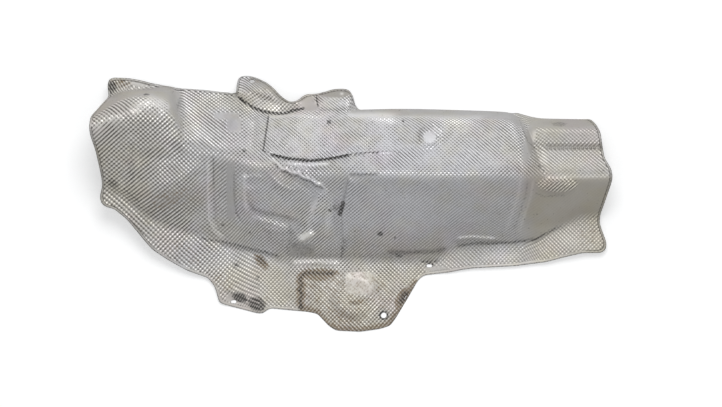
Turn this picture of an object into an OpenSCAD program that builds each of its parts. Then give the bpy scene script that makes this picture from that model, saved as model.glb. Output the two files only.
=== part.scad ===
// Heat shield of an exhaust tunnel, pressed from one embossed aluminium sheet.
// It lies on its flange, its back wall and its lugs, with its outer side up.
// X runs along the channel, Y across it, and Z up from the surface that it lies on.
// The origin is under the middle of the trimmed blank.

/* [Overall] */
// Length of the trimmed shield
shield_len = 654; // [560:1:760]
// Width of the trimmed shield over its tabs
shield_w = 321; // [280:1:380]
// Height of the ridge over the flange
crest_h = 82; // [60:1:104]

/* [Sheet] */
// Thickness over the embossed sheet
sheet_t = 1.2; // [0.8:0.1:2.5]

/* [Bends] */
// Length of the bend at the foot of the front wall
foot_bend = 7; // [3:1:14]
// Length of the bend where the front wall gets less steep
front_bend = 36; // [10:2:50]
// Length of the bend along the ridge
crest_bend = 14; // [4:1:24]
// Length of the bend where the rear slope gets steeper
rear_bend = 22; // [8:2:34]
// Length of the bend at the shoulder, where the sheet turns down to the back wall
shoulder_bend = 14; // [4:1:20]
// Length of the bend at the root of the lugs
lug_root_bend = 6; // [2:1:12]
// Length of the bend where the lugs turn down
lug_bend = 8; // [3:1:12]

/* [Boss] */
// Distance of the boss from the step at the right end of the ridge
boss_in = 113; // [75:1:150]
// Distance of the boss behind the line where the rear slope gets steeper
boss_back = 6; // [-3:1:13]
// Diameter of the flat top of the boss
boss_top_d = 17; // [10:1:24]
// Diameter of the boss at its foot
boss_foot_d = 34; // [28:1:44]
// Height of the boss over the sheet
boss_h = 5; // [2:0.5:7]

/* [Raised patch] */
// Distance of the raised patch from the left side of the bolted lug
patch_in = 37; // [24:1:60]
// Length of the raised patch
patch_len = 139; // [110:1:160]
// Distance of the patch's front edge behind the ridge, at its ends
patch_gap = 21; // [17:1:28]
// Sag of the patch's front edge towards the ridge
patch_sag = 6; // [0:1:10]
// Distance that the patch runs past the shoulder
patch_over = 3; // [-6:1:6]
// Height of the patch over the sheet
patch_h = 3; // [1:0.5:4]

/* [Terrace] */
// Distance of the middle of the terrace from the shield's left end
terrace_in = 101; // [86:1:116]
// Distance of its middle in front of the line where the wall gets less steep
terrace_front = 8; // [0:1:16]
// Length of the terrace
terrace_len = 120; // [80:2:140]
// Width of the terrace
terrace_w = 84; // [60:2:96]
// Height by which the terrace stands out of the wall
terrace_h = 6; // [2:0.5:9]

/* [Bolt tab] */
// Distance of the bolt hole from the tab's right side
bolt_in = 12; // [9:1:18]
// Distance of the bolt hole from the tab's end
bolt_up = 16; // [12:1:22]
// Diameter of the bolt holes
bolt_d = 7; // [5:0.5:8]
// Distance of the middle of the raised pad from the tab's right side
pad_in = 49; // [43:1:57]
// Distance of the middle of the raised pad from the tab's end
pad_up = 42; // [36:1:48]
// Diameter of the raised pad
pad_d = 70; // [56:2:74]
// Height of the raised pad
pad_h = 5; // [2:0.5:7]

/* [Lug] */
// Distance of the lug's bolt hole from the lug's left side
lug_hole_in = 18; // [12:1:24]
// Distance of the lug's bolt hole from the lug's end
lug_hole_up = 7; // [6:1:9]

/* [Slots] */
// Distance of the round-ended slot past the root of the bolt tab, along the channel
slot_past = 7; // [0:1:16]
// Distance of the round-ended slot in from the flange's edge at that root
slot_up = 11; // [7:1:12]
// Distance of the worn slot from the left side of the front flap
worn_in = 10; // [7:1:16]
// Distance of the worn slot from the end of the front flap
worn_up = 4; // [3:1:12]
// Length of the slots
slot_len = 7; // [6:0.5:10]
// Width of the slots
slot_w = 4; // [2.5:0.5:5]

/* [Hidden] */

// Size at which the lines below are drawn, and the factors that fit them to the size wanted
drawn = [654, 321, 82];
fit = [shield_len / drawn.x, shield_w / drawn.y, crest_h / drawn.z];
function fitted(line) = [for (p = line) [for (c = [0:len(p) - 1]) p[c] * fit[c]]];

// Lines that the sections of the shield follow, each point being [x, y, z].
// The first is where the front wall stands on the flange.
front_foot = fitted([
    [-329, 24, 34], [-285, 7, 26], [-264, -11, 20], [-239, -27, 14], [-207, -37, 8],
    [-172, -49, 3], [-139, -58, 0], [-107, -67, 0], [-82, -73, 0], [-14, -73, 0],
    [99, -73, 0], [130, -58, 0], [174, -53, 0], [224, -49, 0], [249, -36, 2],
    [267, -27, 4], [286, -17, 6], [329, -11, 6]
]);
// Where the front wall gets less steep on its way up
front_break = fitted([
    [-329, 44, 46], [-295, 26, 42], [-270, 15, 40], [-235, 17, 47], [-197, 28, 48],
    [-176, 34, 48], [-139, 4, 35], [-82, -11, 37], [-14, -13, 40], [77, -15, 44],
    [215, -8, 46], [246, -2, 34], [329, 12, 33]
]);
// The ridge, which steps down to the right end
crest = fitted([
    [-329, 92, 78], [-276, 111, 91], [-242, 112, 88], [-222, 107, 79], [-208, 80, 68],
    [-172, 64, 64], [-139, 58, 62], [-92, 44, 66], [-47, 39, 70], [-5, 41, 74],
    [77, 38, 80], [211, 36, 82], [246, 34, 57], [329, 34, 54]
]);
// Where the slope behind the ridge gets steeper; at the right end it is a valley
rear_break = fitted([
    [-329, 100, 75], [-276, 130, 81], [-256, 132, 76], [-229, 129, 58], [-216, 114, 48],
    [-205, 105, 43], [-189, 98, 41], [-139, 87, 43], [-92, 77, 51], [-64, 73, 54],
    [11, 73, 57], [99, 77, 62], [204, 74, 63], [240, 69, 34], [329, 69, 31]
]);
// Where the sheet turns down to the back wall
shoulder = fitted([
    [-329, 106, 68], [-276, 136, 66], [-251, 138, 55], [-229, 138, 34], [-218, 134, 20],
    [-203, 131, 15], [-189, 128, 15], [-139, 116, 24], [-111, 105, 30], [-64, 107, 34],
    [11, 107, 37], [99, 107, 42], [198, 103, 42], [234, 78, 37], [329, 78, 34]
]);
// Foot of the back wall; at the lugs it is their root, and the valley behind the left one
back_foot = fitted([
    [-329, 112, 34], [-302, 134, 24], [-282, 141, 16], [-251, 144, 8], [-232, 148, 2],
    [-212, 150, -8], [-187, 150, -8], [-164, 147, -8], [-144, 134, 6], [-130, 121, 15],
    [-111, 111, 17], [-95, 106, 17], [-76, 110, 18], [-57, 114, 20], [-41, 116, 24],
    [-7, 116, 24], [5, 118, 4], [14, 120, -8], [61, 121, -8], [140, 119, -8],
    [192, 117, -8], [232, 94, 31], [329, 92, 28]
]);
// Line along which the lugs turn down, and the outer edge of the flange at the left end
skirt = fitted([
    [-329, 140, 24], [-282, 152, 14], [-240, 156, 4], [-189, 158, -8], [-160, 152, -8],
    [-140, 140, 26], [-106, 140, 26], [-80, 132, 16], [-57, 134, 8], [-1, 134, 8],
    [14, 134, -8], [190, 132, -8], [215, 116, -8], [242, 110, -8], [329, 109, -8]
]);
// Height that the sheet would have at the back side of the blank, as [x, unused, z]
lug_tip = fitted([
    [-329, 0, 20], [-282, 0, 10], [-240, 0, 0], [-189, 0, -8], [-150, 0, -5], [-140, 0, -5],
    [-106, 0, -5], [-57, 0, -30], [14, 0, -30], [329, 0, -30]
]);
// Height of the front side of the blank over the foot of the wall, as [x, unused, z]
front_rise = fitted([
    [-329, 0, 0], [-240, 0, 0], [-170, 0, 0], [83, 0, 0], [152, 0, 14], [220, 0, 16],
    [270, 0, 6], [329, 0, 0]
]);

// Outline to which the pressed sheet is trimmed, seen from above.
// Behind the back wall, where the sheet ends on the floor, it runs clear of the sheet.
trim = fitted([
    [-304, 153], [-297, 158], [-277, 157], [-261, 154], [-251, 151], [-234, 149], [-212, 144],
    [-187, 144], [-164, 142], [-144, 137], [-143, 149], [-140, 153], [-141, 159], [-129, 160.5],
    [-119, 158], [-106, 152], [-96, 144], [-89, 136], [-81, 129], [-75, 127], [-68, 129],
    [-58, 137], [-43, 137], [-31, 141], [-22, 143], [-8, 144], [-1, 142], [3, 134], [6, 124],
    [10, 122], [34, 124], [140, 122], [190, 121], [215, 118], [301, 112], [307, 99],
    [313, 88], [314, 74], [318, 57],
    [325, 44], [327, 33], [322, 15], [313, -11], [311, -22], [315, -36], [321, -49],
    [319, -58], [313, -62], [290, -62], [245, -74], [207, -78], [152, -81], [124, -86],
    [97, -89], [91, -89], [83, -95], [57, -142], [49, -154], [11, -160.5], [-20, -159],
    [-42, -137], [-72, -134], [-105, -131], [-111, -138], [-157, -127], [-166, -123],
    [-170, -104], [-179, -93], [-205, -84], [-248, -58], [-269, -33], [-281, -19],
    [-296, -7], [-308, -4], [-313, 1], [-314, 8], [-311, 22], [-314, 43], [-319, 66],
    [-326, 84], [-327, 97], [-325, 109], [-316, 119], [-303, 136], [-305, 148]
]);
// Corners of the outline, and the step in the ridge, that holes and raised places are set from
function corner(x, y) = [x * fit.x, y * fit.y];
tab_corner = corner(53, -156);
tab_root = corner(91, -89);
flap_corner = corner(-157, -127);
lug_corner = corner(-142, 160.5);
step_x = 211 * fit.x;

// The blank before it is trimmed
trim_margin = 3;
blank_end = shield_len / 2 + trim_margin;
blank_side = shield_w / 2 + trim_margin;
stations = 78;

// Steps in each flat and in each bend of a section, from front to back
flat_steps = [6, 1, 1, 2, 1, 1, 2, 2];
bend_steps = [3, 5, 4, 3, 3, 2, 2];
bends = [
    foot_bend, front_bend, crest_bend, rear_bend, shoulder_bend, lug_root_bend, lug_bend
];
// Most of a flat that the bend at one of its ends takes
bend_share = 0.45;

// Index of the stretch of a line that holds x
function stretch(line, x, i = 0) =
    i >= len(line) - 2 || x < line[i + 1].x ? i : stretch(line, x, i + 1);
function chord(line, i, c) = (line[i + 1][c] - line[i][c]) / (line[i + 1].x - line[i].x);
// Slope of a line at a point, without overshoot between points
function slope(line, i, c) =
    i == 0 ? chord(line, 0, c) :
    i == len(line) - 1 ? chord(line, i - 1, c) :
    let (a = chord(line, i - 1, c), b = chord(line, i, c))
    a * b <= 0 ? 0 : 2 * a * b / (a + b);
// Value of coordinate c of a line at x
function along(line, x, c) =
    let (
        i = stretch(line, x),
        h = line[i + 1].x - line[i].x,
        t = min(max((x - line[i].x) / h, 0), 1)
    )
    line[i][c] * (1 + 2 * t) * pow(1 - t, 2) + slope(line, i, c) * h * t * pow(1 - t, 2)
    + line[i + 1][c] * t * t * (3 - 2 * t) - slope(line, i + 1, c) * h * t * t * (1 - t);
function on_line(line, x) = [along(line, x, 1), along(line, x, 2)];

function mix(a, b, t) = a + (b - a) * t;
// Smooth step from 0 at a to 1 at b
function ramp(a, b, x) = let (t = min(max((x - a) / (b - a), 0), 1)) t * t * (3 - 2 * t);

// Corners of the section at x, from the front of the blank to its back
function corners(x) = [
    [-blank_side, along(front_foot, x, 2) + along(front_rise, x, 2)],
    on_line(front_foot, x),
    on_line(front_break, x),
    on_line(crest, x),
    on_line(rear_break, x),
    on_line(shoulder, x),
    on_line(back_foot, x),
    on_line(skirt, x),
    [blank_side, along(lug_tip, x, 2)]
];

// Point of the bend at corner i, t going from 0 at its front end to 1 at its back end
function bend(c, i, t) =
    let (
        front = c[i - 1] - c[i],
        back = c[i + 1] - c[i],
        a = c[i] + front * min(bend_share, bends[i - 1] / norm(front)),
        b = c[i] + back * min(bend_share, bends[i - 1] / norm(back))
    )
    mix(mix(a, c[i], t), mix(c[i], b, t), t);

function flat_start(c, i) = i == 0 ? c[0] : bend(c, i, 1);
function flat_end(c, i) = i == len(c) - 2 ? c[i + 1] : bend(c, i + 1, 0);

// Rounded section through the corners
function section(c) = [
    for (i = [0:len(c) - 2]) each concat(
        [for (k = [0:flat_steps[i] - 1]) mix(flat_start(c, i), flat_end(c, i), k / flat_steps[i])],
        i == len(c) - 2 ? [c[i + 1]] :
            [for (k = [0:bend_steps[i] - 1]) bend(c, i + 1, k / bend_steps[i])]
    )
];

// Raised places of the sheet
boss_x = step_x - boss_in;
boss_y = along(rear_break, boss_x, 1) + boss_back;
function boss_rise(x, y) =
    boss_h * ramp(boss_foot_d / 2, boss_top_d / 2, norm([x - boss_x, y - boss_y]));

patch_left = lug_corner.x + patch_in;
patch_right = patch_left + patch_len;
// Distances over which the patch rises at its left, right, front and back edges
patch_ramps = [7, 30, 6, 10];
function patch_front(x) =
    let (t = (x - patch_left) / patch_len)
    along(crest, x, 1) + patch_gap - patch_sag * 4 * max(t * (1 - t), 0);
function patch_back(x) = along(shoulder, x, 1) + patch_over;
function patch_rise(x, y) =
    patch_h * ramp(-patch_ramps[0] / 2, patch_ramps[0] / 2, x - patch_left)
    * ramp(patch_ramps[1], 0, x - patch_right)
    * ramp(-patch_ramps[2] / 2, patch_ramps[2] / 2, y - patch_front(x))
    * ramp(patch_ramps[3] / 2, -patch_ramps[3] / 2, y - patch_back(x));

pad_x = tab_corner.x - pad_in;
pad_y = tab_corner.y + pad_up;
pad_ramp = 16;
function pad_rise(x, y) =
    pad_h * ramp(pad_d / 2, pad_d / 2 - pad_ramp, norm([x - pad_x, y - pad_y]));

terrace_x = terrace_in - shield_len / 2;
terrace_y = along(front_break, terrace_x, 1) - terrace_front;
function terrace_rise(x, y) =
    terrace_h * ramp(0.5, 0, norm([(x - terrace_x) / terrace_len, (y - terrace_y) / terrace_w]));

function relief(x, y) =
    boss_rise(x, y) + patch_rise(x, y) + terrace_rise(x, y) + pad_rise(x, y);

// Upper side of the sheet, as one row of points for each station
upper = [
    for (i = [0:stations])
        let (x = mix(-blank_end, blank_end, i / stations))
        [for (p = section(corners(x))) [x, p[0], p[1] + relief(x, p[0]) + sheet_t]]
];
rows = len(upper[0]);
function normal(i, j) =
    let (
        along_x = upper[min(i + 1, stations)][j] - upper[max(i - 1, 0)][j],
        along_y = upper[i][min(j + 1, rows - 1)] - upper[i][max(j - 1, 0)],
        n = cross(along_x, along_y)
    )
    n / norm(n);

// The pressed blank: the upper side, the lower side one thickness under it, and the cut edges
module pressed_blank() {
    lower = [
        for (i = [0:stations])
            [for (j = [0:rows - 1]) upper[i][j] - sheet_t * normal(i, j)]
    ];
    count = rows * (stations + 1);
    function top(i, j) = i * rows + j;
    function under(i, j) = count + i * rows + j;
    skins = [
        for (i = [0:stations - 1]) for (j = [0:rows - 2]) each [
            [top(i, j), top(i, j + 1), top(i + 1, j + 1)],
            [top(i, j), top(i + 1, j + 1), top(i + 1, j)],
            [under(i, j), under(i + 1, j + 1), under(i, j + 1)],
            [under(i, j), under(i + 1, j), under(i + 1, j + 1)]
        ]
    ];
    ends = [
        for (j = [0:rows - 2]) each [
            [top(0, j), under(0, j), under(0, j + 1), top(0, j + 1)],
            [top(stations, j), top(stations, j + 1), under(stations, j + 1), under(stations, j)]
        ]
    ];
    sides = [
        for (i = [0:stations - 1]) each [
            [top(i, 0), top(i + 1, 0), under(i + 1, 0), under(i, 0)],
            [top(i, rows - 1), under(i, rows - 1), under(i + 1, rows - 1), top(i + 1, rows - 1)]
        ]
    ];
    polyhedron(
        concat([for (row = upper) each row], [for (row = lower) each row]),
        concat(skins, ends, sides),
        convexity = 12
    );
}

// Cutters that pass through the sheet
cut_depth = 40;
module round_hole(d) {
    translate([0, 0, -cut_depth / 2]) cylinder(d = d, h = cut_depth, $fn = 48);
}
module slot_hole(length, width) {
    for (side = [-1, 1])
        translate([side * (length - width) / 2, 0, 0]) round_hole(width);
    translate([-(length - width) / 2, -width / 2, -cut_depth / 2])
        cube([length - width, width, cut_depth]);
}

// Place of the lug's bolt hole, on the flat between the lug's ridge and its tip
lug_hole_x = lug_corner.x + lug_hole_in;
lug_hole_y = lug_corner.y - lug_hole_up;
lug_top = on_line(skirt, lug_hole_x);
lug_end = [blank_side, along(lug_tip, lug_hole_x, 2)];
lug_fall = lug_top[1] - lug_end[1];
lug_run = lug_end[0] - lug_top[0];
lug_tilt = atan2(lug_fall, lug_run);
lug_hole_z = lug_end[1] + lug_fall * (lug_end[0] - lug_hole_y) / lug_run;

module heat_shield() {
    color("silver")
        difference() {
            intersection() {
                pressed_blank();
                translate([0, 0, -cut_depth]) linear_extrude(4 * cut_depth) polygon(trim);
            }
            // The floor, at which the back wall and the lugs are cut off
            translate([-blank_end, 0, -cut_depth]) cube([2 * blank_end, blank_side, cut_depth]);
            translate(tab_corner + [-bolt_in, bolt_up]) round_hole(bolt_d);
            translate([lug_hole_x, lug_hole_y, lug_hole_z]) rotate([-lug_tilt, 0, 0])
                round_hole(bolt_d);
            translate(tab_root + [slot_past, slot_up]) slot_hole(slot_len, slot_w);
            translate(flap_corner + [worn_in, worn_up]) slot_hole(slot_len, slot_w);
        }
}

heat_shield();
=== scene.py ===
# %% [markdown]
# # An exhaust heat shield, pressed from one embossed sheet
#
# The real shield starts as a flat sheet of aluminium with rows of small dots rolled into it. A press
# bends it into a channel, a die cuts its outline and its holes, and its rim is turned over. This lesson
# rebuilds it in the same order: first the smooth form, then its creases, its outline, one closed mesh
# with a turned rim, and only then the dots, the metal and the dirt.
#
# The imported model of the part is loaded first. It says how large the shield is and where it lies.

# %% Load the frame
import math

import bpy
import numpy as np
from mathutils.geometry import delaunay_2d_cdt
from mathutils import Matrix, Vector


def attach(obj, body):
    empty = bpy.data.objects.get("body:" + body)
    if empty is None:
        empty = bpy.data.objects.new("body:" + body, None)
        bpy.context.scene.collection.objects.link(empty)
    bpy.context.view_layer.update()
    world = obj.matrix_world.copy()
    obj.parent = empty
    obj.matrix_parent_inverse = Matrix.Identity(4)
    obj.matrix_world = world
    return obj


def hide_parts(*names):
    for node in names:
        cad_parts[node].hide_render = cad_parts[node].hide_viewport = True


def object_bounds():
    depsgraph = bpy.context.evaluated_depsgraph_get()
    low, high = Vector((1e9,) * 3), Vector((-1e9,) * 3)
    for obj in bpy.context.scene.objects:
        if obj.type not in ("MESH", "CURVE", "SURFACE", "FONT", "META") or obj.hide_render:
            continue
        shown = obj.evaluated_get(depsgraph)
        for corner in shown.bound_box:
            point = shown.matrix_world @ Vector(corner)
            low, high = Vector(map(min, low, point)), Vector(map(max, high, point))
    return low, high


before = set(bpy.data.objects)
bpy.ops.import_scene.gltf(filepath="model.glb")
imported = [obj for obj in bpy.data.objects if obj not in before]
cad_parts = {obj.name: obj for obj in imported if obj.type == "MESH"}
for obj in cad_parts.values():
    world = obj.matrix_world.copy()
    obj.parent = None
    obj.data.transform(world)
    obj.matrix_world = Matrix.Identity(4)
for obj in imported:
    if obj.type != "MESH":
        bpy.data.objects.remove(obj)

bpy.context.view_layer.update()
cad_low, cad_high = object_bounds()
MM = 0.001
print("solid's box in mm:", [round(c / MM, 1) for c in (*cad_low, *cad_high)])

# %% [markdown]
# ## Lines that the sheet follows
#
# A pressed channel is easiest to describe by the lines along which it bends: the foot of its front wall,
# its ridge, its shoulder and so on. A subdivision surface could round them, but it pulls away from its
# cage. Here each line is a few points in millimetres, and a smooth curve goes through them without
# overshoot. They are the lines of the solid, but for three that the photograph shows elsewhere: the
# feet of the front and the back wall, up to 3 and 6 mm further back, and the slope of the second lug.

# %% Lines of the flange, the front wall and the ridge, as (x, y, z) in millimetres
LINES = [
    # Front side of the flange, filled in below
    None,
    # Foot of the front wall
    [(-329, 24, 34), (-285, 7, 26), (-264, -11, 20), (-239, -27, 14), (-207, -36, 8),
     (-172, -46, 3), (-139, -55, 0), (-107, -64, 0), (-82, -72, 0), (-14, -73, 0),
     (99, -73, 0), (130, -58, 0), (174, -53, 0), (224, -49, 0), (249, -36, 2),
     (267, -27, 4), (286, -17, 6), (329, -11, 6)],
    # Where the front wall gets less steep
    [(-329, 44, 46), (-295, 26, 42), (-270, 15, 40), (-235, 17, 47), (-197, 28, 48),
     (-176, 34, 48), (-139, 4, 35), (-82, -11, 37), (-14, -13, 40), (77, -15, 44),
     (215, -8, 46), (246, -2, 34), (329, 12, 33)],
    # Ridge
    [(-329, 92, 78), (-276, 111, 91), (-242, 112, 88), (-222, 107, 79), (-208, 80, 68),
     (-172, 64, 64), (-139, 58, 62), (-92, 44, 66), (-47, 39, 70), (-5, 41, 74),
     (77, 38, 80), (211, 36, 82), (246, 34, 57), (329, 34, 54)],
]
FRONT_RISE = [(-329, 0, 0), (83, 0, 0), (152, 0, 14), (220, 0, 16), (270, 0, 6), (329, 0, 0)]
RIDGE = 3
print("lines up to the ridge:", len(LINES))

# %% Lines behind the ridge
LINES += [
    # Where the slope behind the ridge gets steeper; at the right end it is a valley
    [(-329, 100, 75), (-276, 130, 81), (-256, 132, 76), (-229, 129, 58), (-216, 114, 48),
     (-205, 105, 43), (-189, 98, 41), (-139, 87, 43), (-92, 77, 51), (-64, 73, 54),
     (11, 73, 57), (99, 77, 62), (204, 74, 63), (240, 69, 34), (329, 69, 31)],
    # Shoulder
    [(-329, 106, 68), (-276, 136, 66), (-251, 138, 55), (-229, 138, 34), (-218, 134, 20),
     (-203, 131, 15), (-189, 128, 15), (-139, 116, 24), (-111, 105, 30), (-64, 107, 34),
     (11, 107, 37), (99, 107, 42), (198, 103, 42), (234, 78, 37), (329, 78, 34)],
    # Foot of the back wall, and the root of the lugs
    [(-329, 112, 34), (-302, 134, 24), (-282, 141, 16), (-251, 144, 8), (-232, 148, 2),
     (-212, 150, -8), (-187, 150, -8), (-164, 147, -8), (-144, 135, 6), (-130, 124, 14),
     (-111, 115, 16), (-95, 112, 16), (-76, 114, 17), (-57, 117, 20), (-41, 117, 24),
     (-7, 116, 24), (5, 118, 4), (14, 120, -8), (61, 121, -8), (140, 119, -8),
     (192, 117, -8), (232, 94, 31), (329, 92, 28)],
    # Line along which the lugs turn down
    [(-329, 140, 24), (-282, 152, 14), (-240, 156, 4), (-189, 158, -8), (-160, 152, -8),
     (-140, 140, 26), (-106, 140, 26), (-80, 132, 16), (-57, 134, 8), (-1, 134, 8),
     (14, 134, -8), (190, 132, -8), (215, 116, -8), (242, 110, -8), (329, 109, -8)],
    # Back side of the blank
    [(-329, 163.5, 20), (-282, 163.5, 10), (-240, 163.5, 0), (-189, 163.5, -8), (-150, 163.5, -5),
     (-106, 163.5, -5), (-57, 163.5, -17), (0, 163.5, -17), (14, 163.5, -30), (329, 163.5, -30)],
]
BLANK_SIDE = 163.5
# Lengths of the bends along the lines, from the foot of the front wall to the lugs
BENDS = [7, 36, 14, 22, 14, 6, 8]
BEND_SHARE = 0.45
print("lines:", len(LINES), "with", sum(len(line) for line in LINES if line), "points")

# %% A smooth curve through the points of a line
def along(line, x, column):
    """Height (or y) of a line at the places x: a smooth curve that never overshoots its points."""
    points = np.array(line, float)
    px, py = points[:, 0], points[:, column]
    chord = np.diff(py) / np.diff(px)
    rising = chord[:-1] * chord[1:] > 0
    total = np.where(rising, chord[:-1] + chord[1:], 1)
    inner = np.where(rising, 2 * chord[:-1] * chord[1:] / total, 0)
    slope = np.concatenate([chord[:1], inner, chord[-1:]])
    i = np.clip(np.searchsorted(px, x, "right") - 1, 0, len(px) - 2)
    h = px[i + 1] - px[i]
    t = np.clip((x - px[i]) / h, 0, 1)
    return (py[i] * (1 + 2 * t) * (1 - t) ** 2 + slope[i] * h * t * (1 - t) ** 2
            + py[i + 1] * t * t * (3 - 2 * t) - slope[i + 1] * h * t * t * (1 - t))


print("line of the ridge at x 0:", along(LINES[RIDGE], np.array([0.0]), 2).round(1), "mm high")

# %% [markdown]
# ## From lines to a sheet that can be measured
#
# The dots of the sheet keep their distance when the sheet is bent, so the sheet needs its own
# coordinates: `u` along the channel, and `v`, the length along the sheet across it, which is the same as
# y on the ridge. For each of 529 places along the channel the section is drawn as straight flats joined by
# rounded bends, and its length is tabled. Every later step asks this table where a point of the sheet
# is, which is why the dots come out evenly spaced on the walls too.

# %% Table of the sections
STEP = 1.25
BEND_POINTS = 9
stations = np.arange(-330, 330 + STEP, STEP)
v_range = np.arange(-210, 300, STEP)

corners = np.zeros((len(LINES), len(stations), 2))
for k, line in enumerate(LINES):
    if line:
        corners[k, :, 0] = along(line, stations, 1)
        corners[k, :, 1] = along(line, stations, 2)
corners[0, :, 0] = -BLANK_SIDE
corners[0, :, 1] = corners[1, :, 1] + along(FRONT_RISE, stations, 2)

profile = [corners[0]]
for k in range(1, len(corners) - 1):
    to_front, to_back = corners[k - 1] - corners[k], corners[k + 1] - corners[k]
    size = BENDS[k - 1]
    near = np.minimum(BEND_SHARE, size / np.linalg.norm(to_front, axis=1))[:, None]
    far = np.minimum(BEND_SHARE, size / np.linalg.norm(to_back, axis=1))[:, None]
    start, end = corners[k] + to_front * near, corners[k] + to_back * far
    if k == RIDGE:
        ridge_at = len(profile) + BEND_POINTS // 2
    for t in np.linspace(0, 1, BEND_POINTS):
        profile.append((1 - t) ** 2 * start + 2 * t * (1 - t) * corners[k] + t * t * end)
profile.append(corners[-1])
profile = np.stack(profile, axis=1)

lengths = np.linalg.norm(np.diff(profile, axis=1), axis=2)
v_of = np.concatenate([np.zeros((len(stations), 1)), np.cumsum(lengths, axis=1)], axis=1)
v_of += (profile[:, ridge_at, 0] - v_of[:, ridge_at])[:, None]
section_y = np.array([np.interp(v_range, v, p[:, 0]) for v, p in zip(v_of, profile)])
section_z = np.array([np.interp(v_range, v, p[:, 1]) for v, p in zip(v_of, profile)])
print("sections:", len(stations))
print("lengths across:", round(v_of[:, 0].min()), "to", round(v_of[:, -1].max()), "mm")

# %% Helpers that read the table
def look_up(table, u, v):
    """Value of a table at any place of the sheet, between its four nearest entries."""
    i = np.clip((u - stations[0]) / STEP, 0, len(stations) - 1.001)
    j = np.clip((v - v_range[0]) / STEP, 0, len(v_range) - 1.001)
    a, b = i.astype(int), j.astype(int)
    s, t = i - a, j - b
    return ((table[a, b] * (1 - s) + table[a + 1, b] * s) * (1 - t)
            + (table[a, b + 1] * (1 - s) + table[a + 1, b + 1] * s) * t)


def v_at(x, y):
    """Length across the sheet at places given seen from above."""
    column = np.clip(np.rint((x - stations[0]) / STEP).astype(int), 0, len(stations) - 1)
    return np.array([np.interp(yy, profile[c, :, 0], v_of[c]) for c, yy in zip(column, y)])


print("v where the front wall stands on the flange at x 0:", v_at(np.zeros(1), np.array([-73.0])).round(1))

# %% [markdown]
# ## Raised places, creases and dents
#
# The die leaves a boss, a raised patch, a pad and a terrace. Forming and years of use leave a pleat,
# folds, creases and dents. Sculpting them would work, but they couldn't be measured or moved. Here each
# is a small formula of x and y: a `bump` is a soft ellipse, and a `crease` is a ridge or groove that
# follows a few points and fades at its ends. The first four have the sizes of the solid.

# %% Helpers for the raised places
def ramp(a, b, x):
    """0 before a, 1 past b, and a soft rise between them."""
    t = np.clip((x - a) / (b - a), 0, 1)
    return t * t * (3 - 2 * t)


def bump(x, y, middle, radii, height, angle=0.0, edge=1.0, power=2):
    """A soft elliptic bump; edge is the part of its radius over which it falls, and a high power
    makes it squarer."""
    c, s = math.cos(math.radians(angle)), math.sin(math.radians(angle))
    dx, dy = x - middle[0], y - middle[1]
    along_it, across = np.abs(dx * c + dy * s) / radii[0], np.abs(dy * c - dx * s) / radii[1]
    r = (along_it**power + across**power) ** (1 / power)
    return height * ramp(1, 1 - edge, r)


def beside(points, x, y):
    """Distance from a line of points, the side (positive is left of its direction) and the part
    of its length that the nearest place is at."""
    p = np.array(points, float)
    cuts = np.concatenate([[0], np.cumsum(np.linalg.norm(np.diff(p, axis=0), axis=1))])
    best = np.full(np.shape(x), np.inf)
    side, part = np.zeros(np.shape(x)), np.zeros(np.shape(x))
    for a, b, at in zip(p[:-1], p[1:], cuts):
        d = b - a
        length = np.hypot(*d)
        t = np.clip(((x - a[0]) * d[0] + (y - a[1]) * d[1]) / length**2, 0, 1)
        gap = np.hypot(x - a[0] - d[0] * t, y - a[1] - d[1] * t)
        closer = gap < best
        best = np.where(closer, gap, best)
        turn = d[0] * (y - a[1]) - d[1] * (x - a[0])
        side = np.where(closer, np.sign(turn), side)
        part = np.where(closer, (at + t * length) / cuts[-1], part)
    return best, side, part


def crease(x, y, points, width, height, fade=0.2):
    """A ridge (or a groove, with a height below 0) along a line, that fades over part of its ends."""
    gap, _, part = beside(points, x, y)
    ends = ramp(0, fade, part) * ramp(1, 1 - fade, part)
    return height * ends * np.exp(-((gap / width) ** 2))


def fold(x, y, points, reach, height, width=0.8, fade=0.1):
    """A step along a line: its left side stands up at the line and sinks back over its reach."""
    gap, side, part = beside(points, x, y)
    ends = ramp(0, fade, part) * ramp(1, 1 - fade, part)
    return height * ends * ramp(-width, width, gap * side) * np.exp(-((gap / reach) ** 2))


def moved(points, right, back=0):
    """The same line of points, a little further to the right or to the back."""
    return [(x + right, y + back) for x, y in points]


print("half way down a bump of 2 mm:", bump(np.array([2.5]), np.zeros(1), (0, 0), (5, 5), 2.0))

# %% Lines of the folds and edges
PLEAT = [(-110, 64), (-107, 84), (-103, 111)]
TUCK = [(-110, 66), (-101, 63), (-94, 60.5), (-81, 57), (-69, 54.5), (-51, 53.5), (-38, 54.5),
        (-26, 56.5), (-12, 59.5), (1, 62), (18, 64), (35, 64.5)]
LUG_VALLEY = [(-142, 134), (-137.5, 130), (-124, 120.5), (-110.5, 115), (-93, 112.5), (-81, 113),
              (-74, 116), (-57.5, 119.5)]
LUG_EDGE = [(-128, 156), (-119, 153), (-103, 146), (-88, 133), (-77, 127)]
TEAR = [(-43.5, 138), (-43, 130), (-41, 121)]
FOLD = [(-93, 47), (-84, 42.5), (-73, 38.5), (-62, 34.5), (-50, 28), (-38, 20), (-29, 14)]
ABOVE_FOLD = [(-84, 51), (-55, 48.5), (-24, 50)]
CRACK = [(-101, 57), (-93, 50), (-87, 43), (-80, 42.5), (-74, 38), (-66, 37.5), (-60, 33),
         (-50, 30.5), (-44, 25), (-38, 24), (-31, 18)]
CRACK_ABOVE = [(-86, 53), (-79, 48), (-72, 48.5), (-64, 44), (-52, 41)]
PANEL_LEFT = [(-172, 60), (-172, 20), (-171, -20), (-164, -36), (-150, -45)]
PANEL_RIGHT = [(-146, 42), (-146, 12), (-144, -12), (-134, -28)]
PANEL_RIDGE = [(-133, 40), (-134, 12), (-131, -14)]
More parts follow.
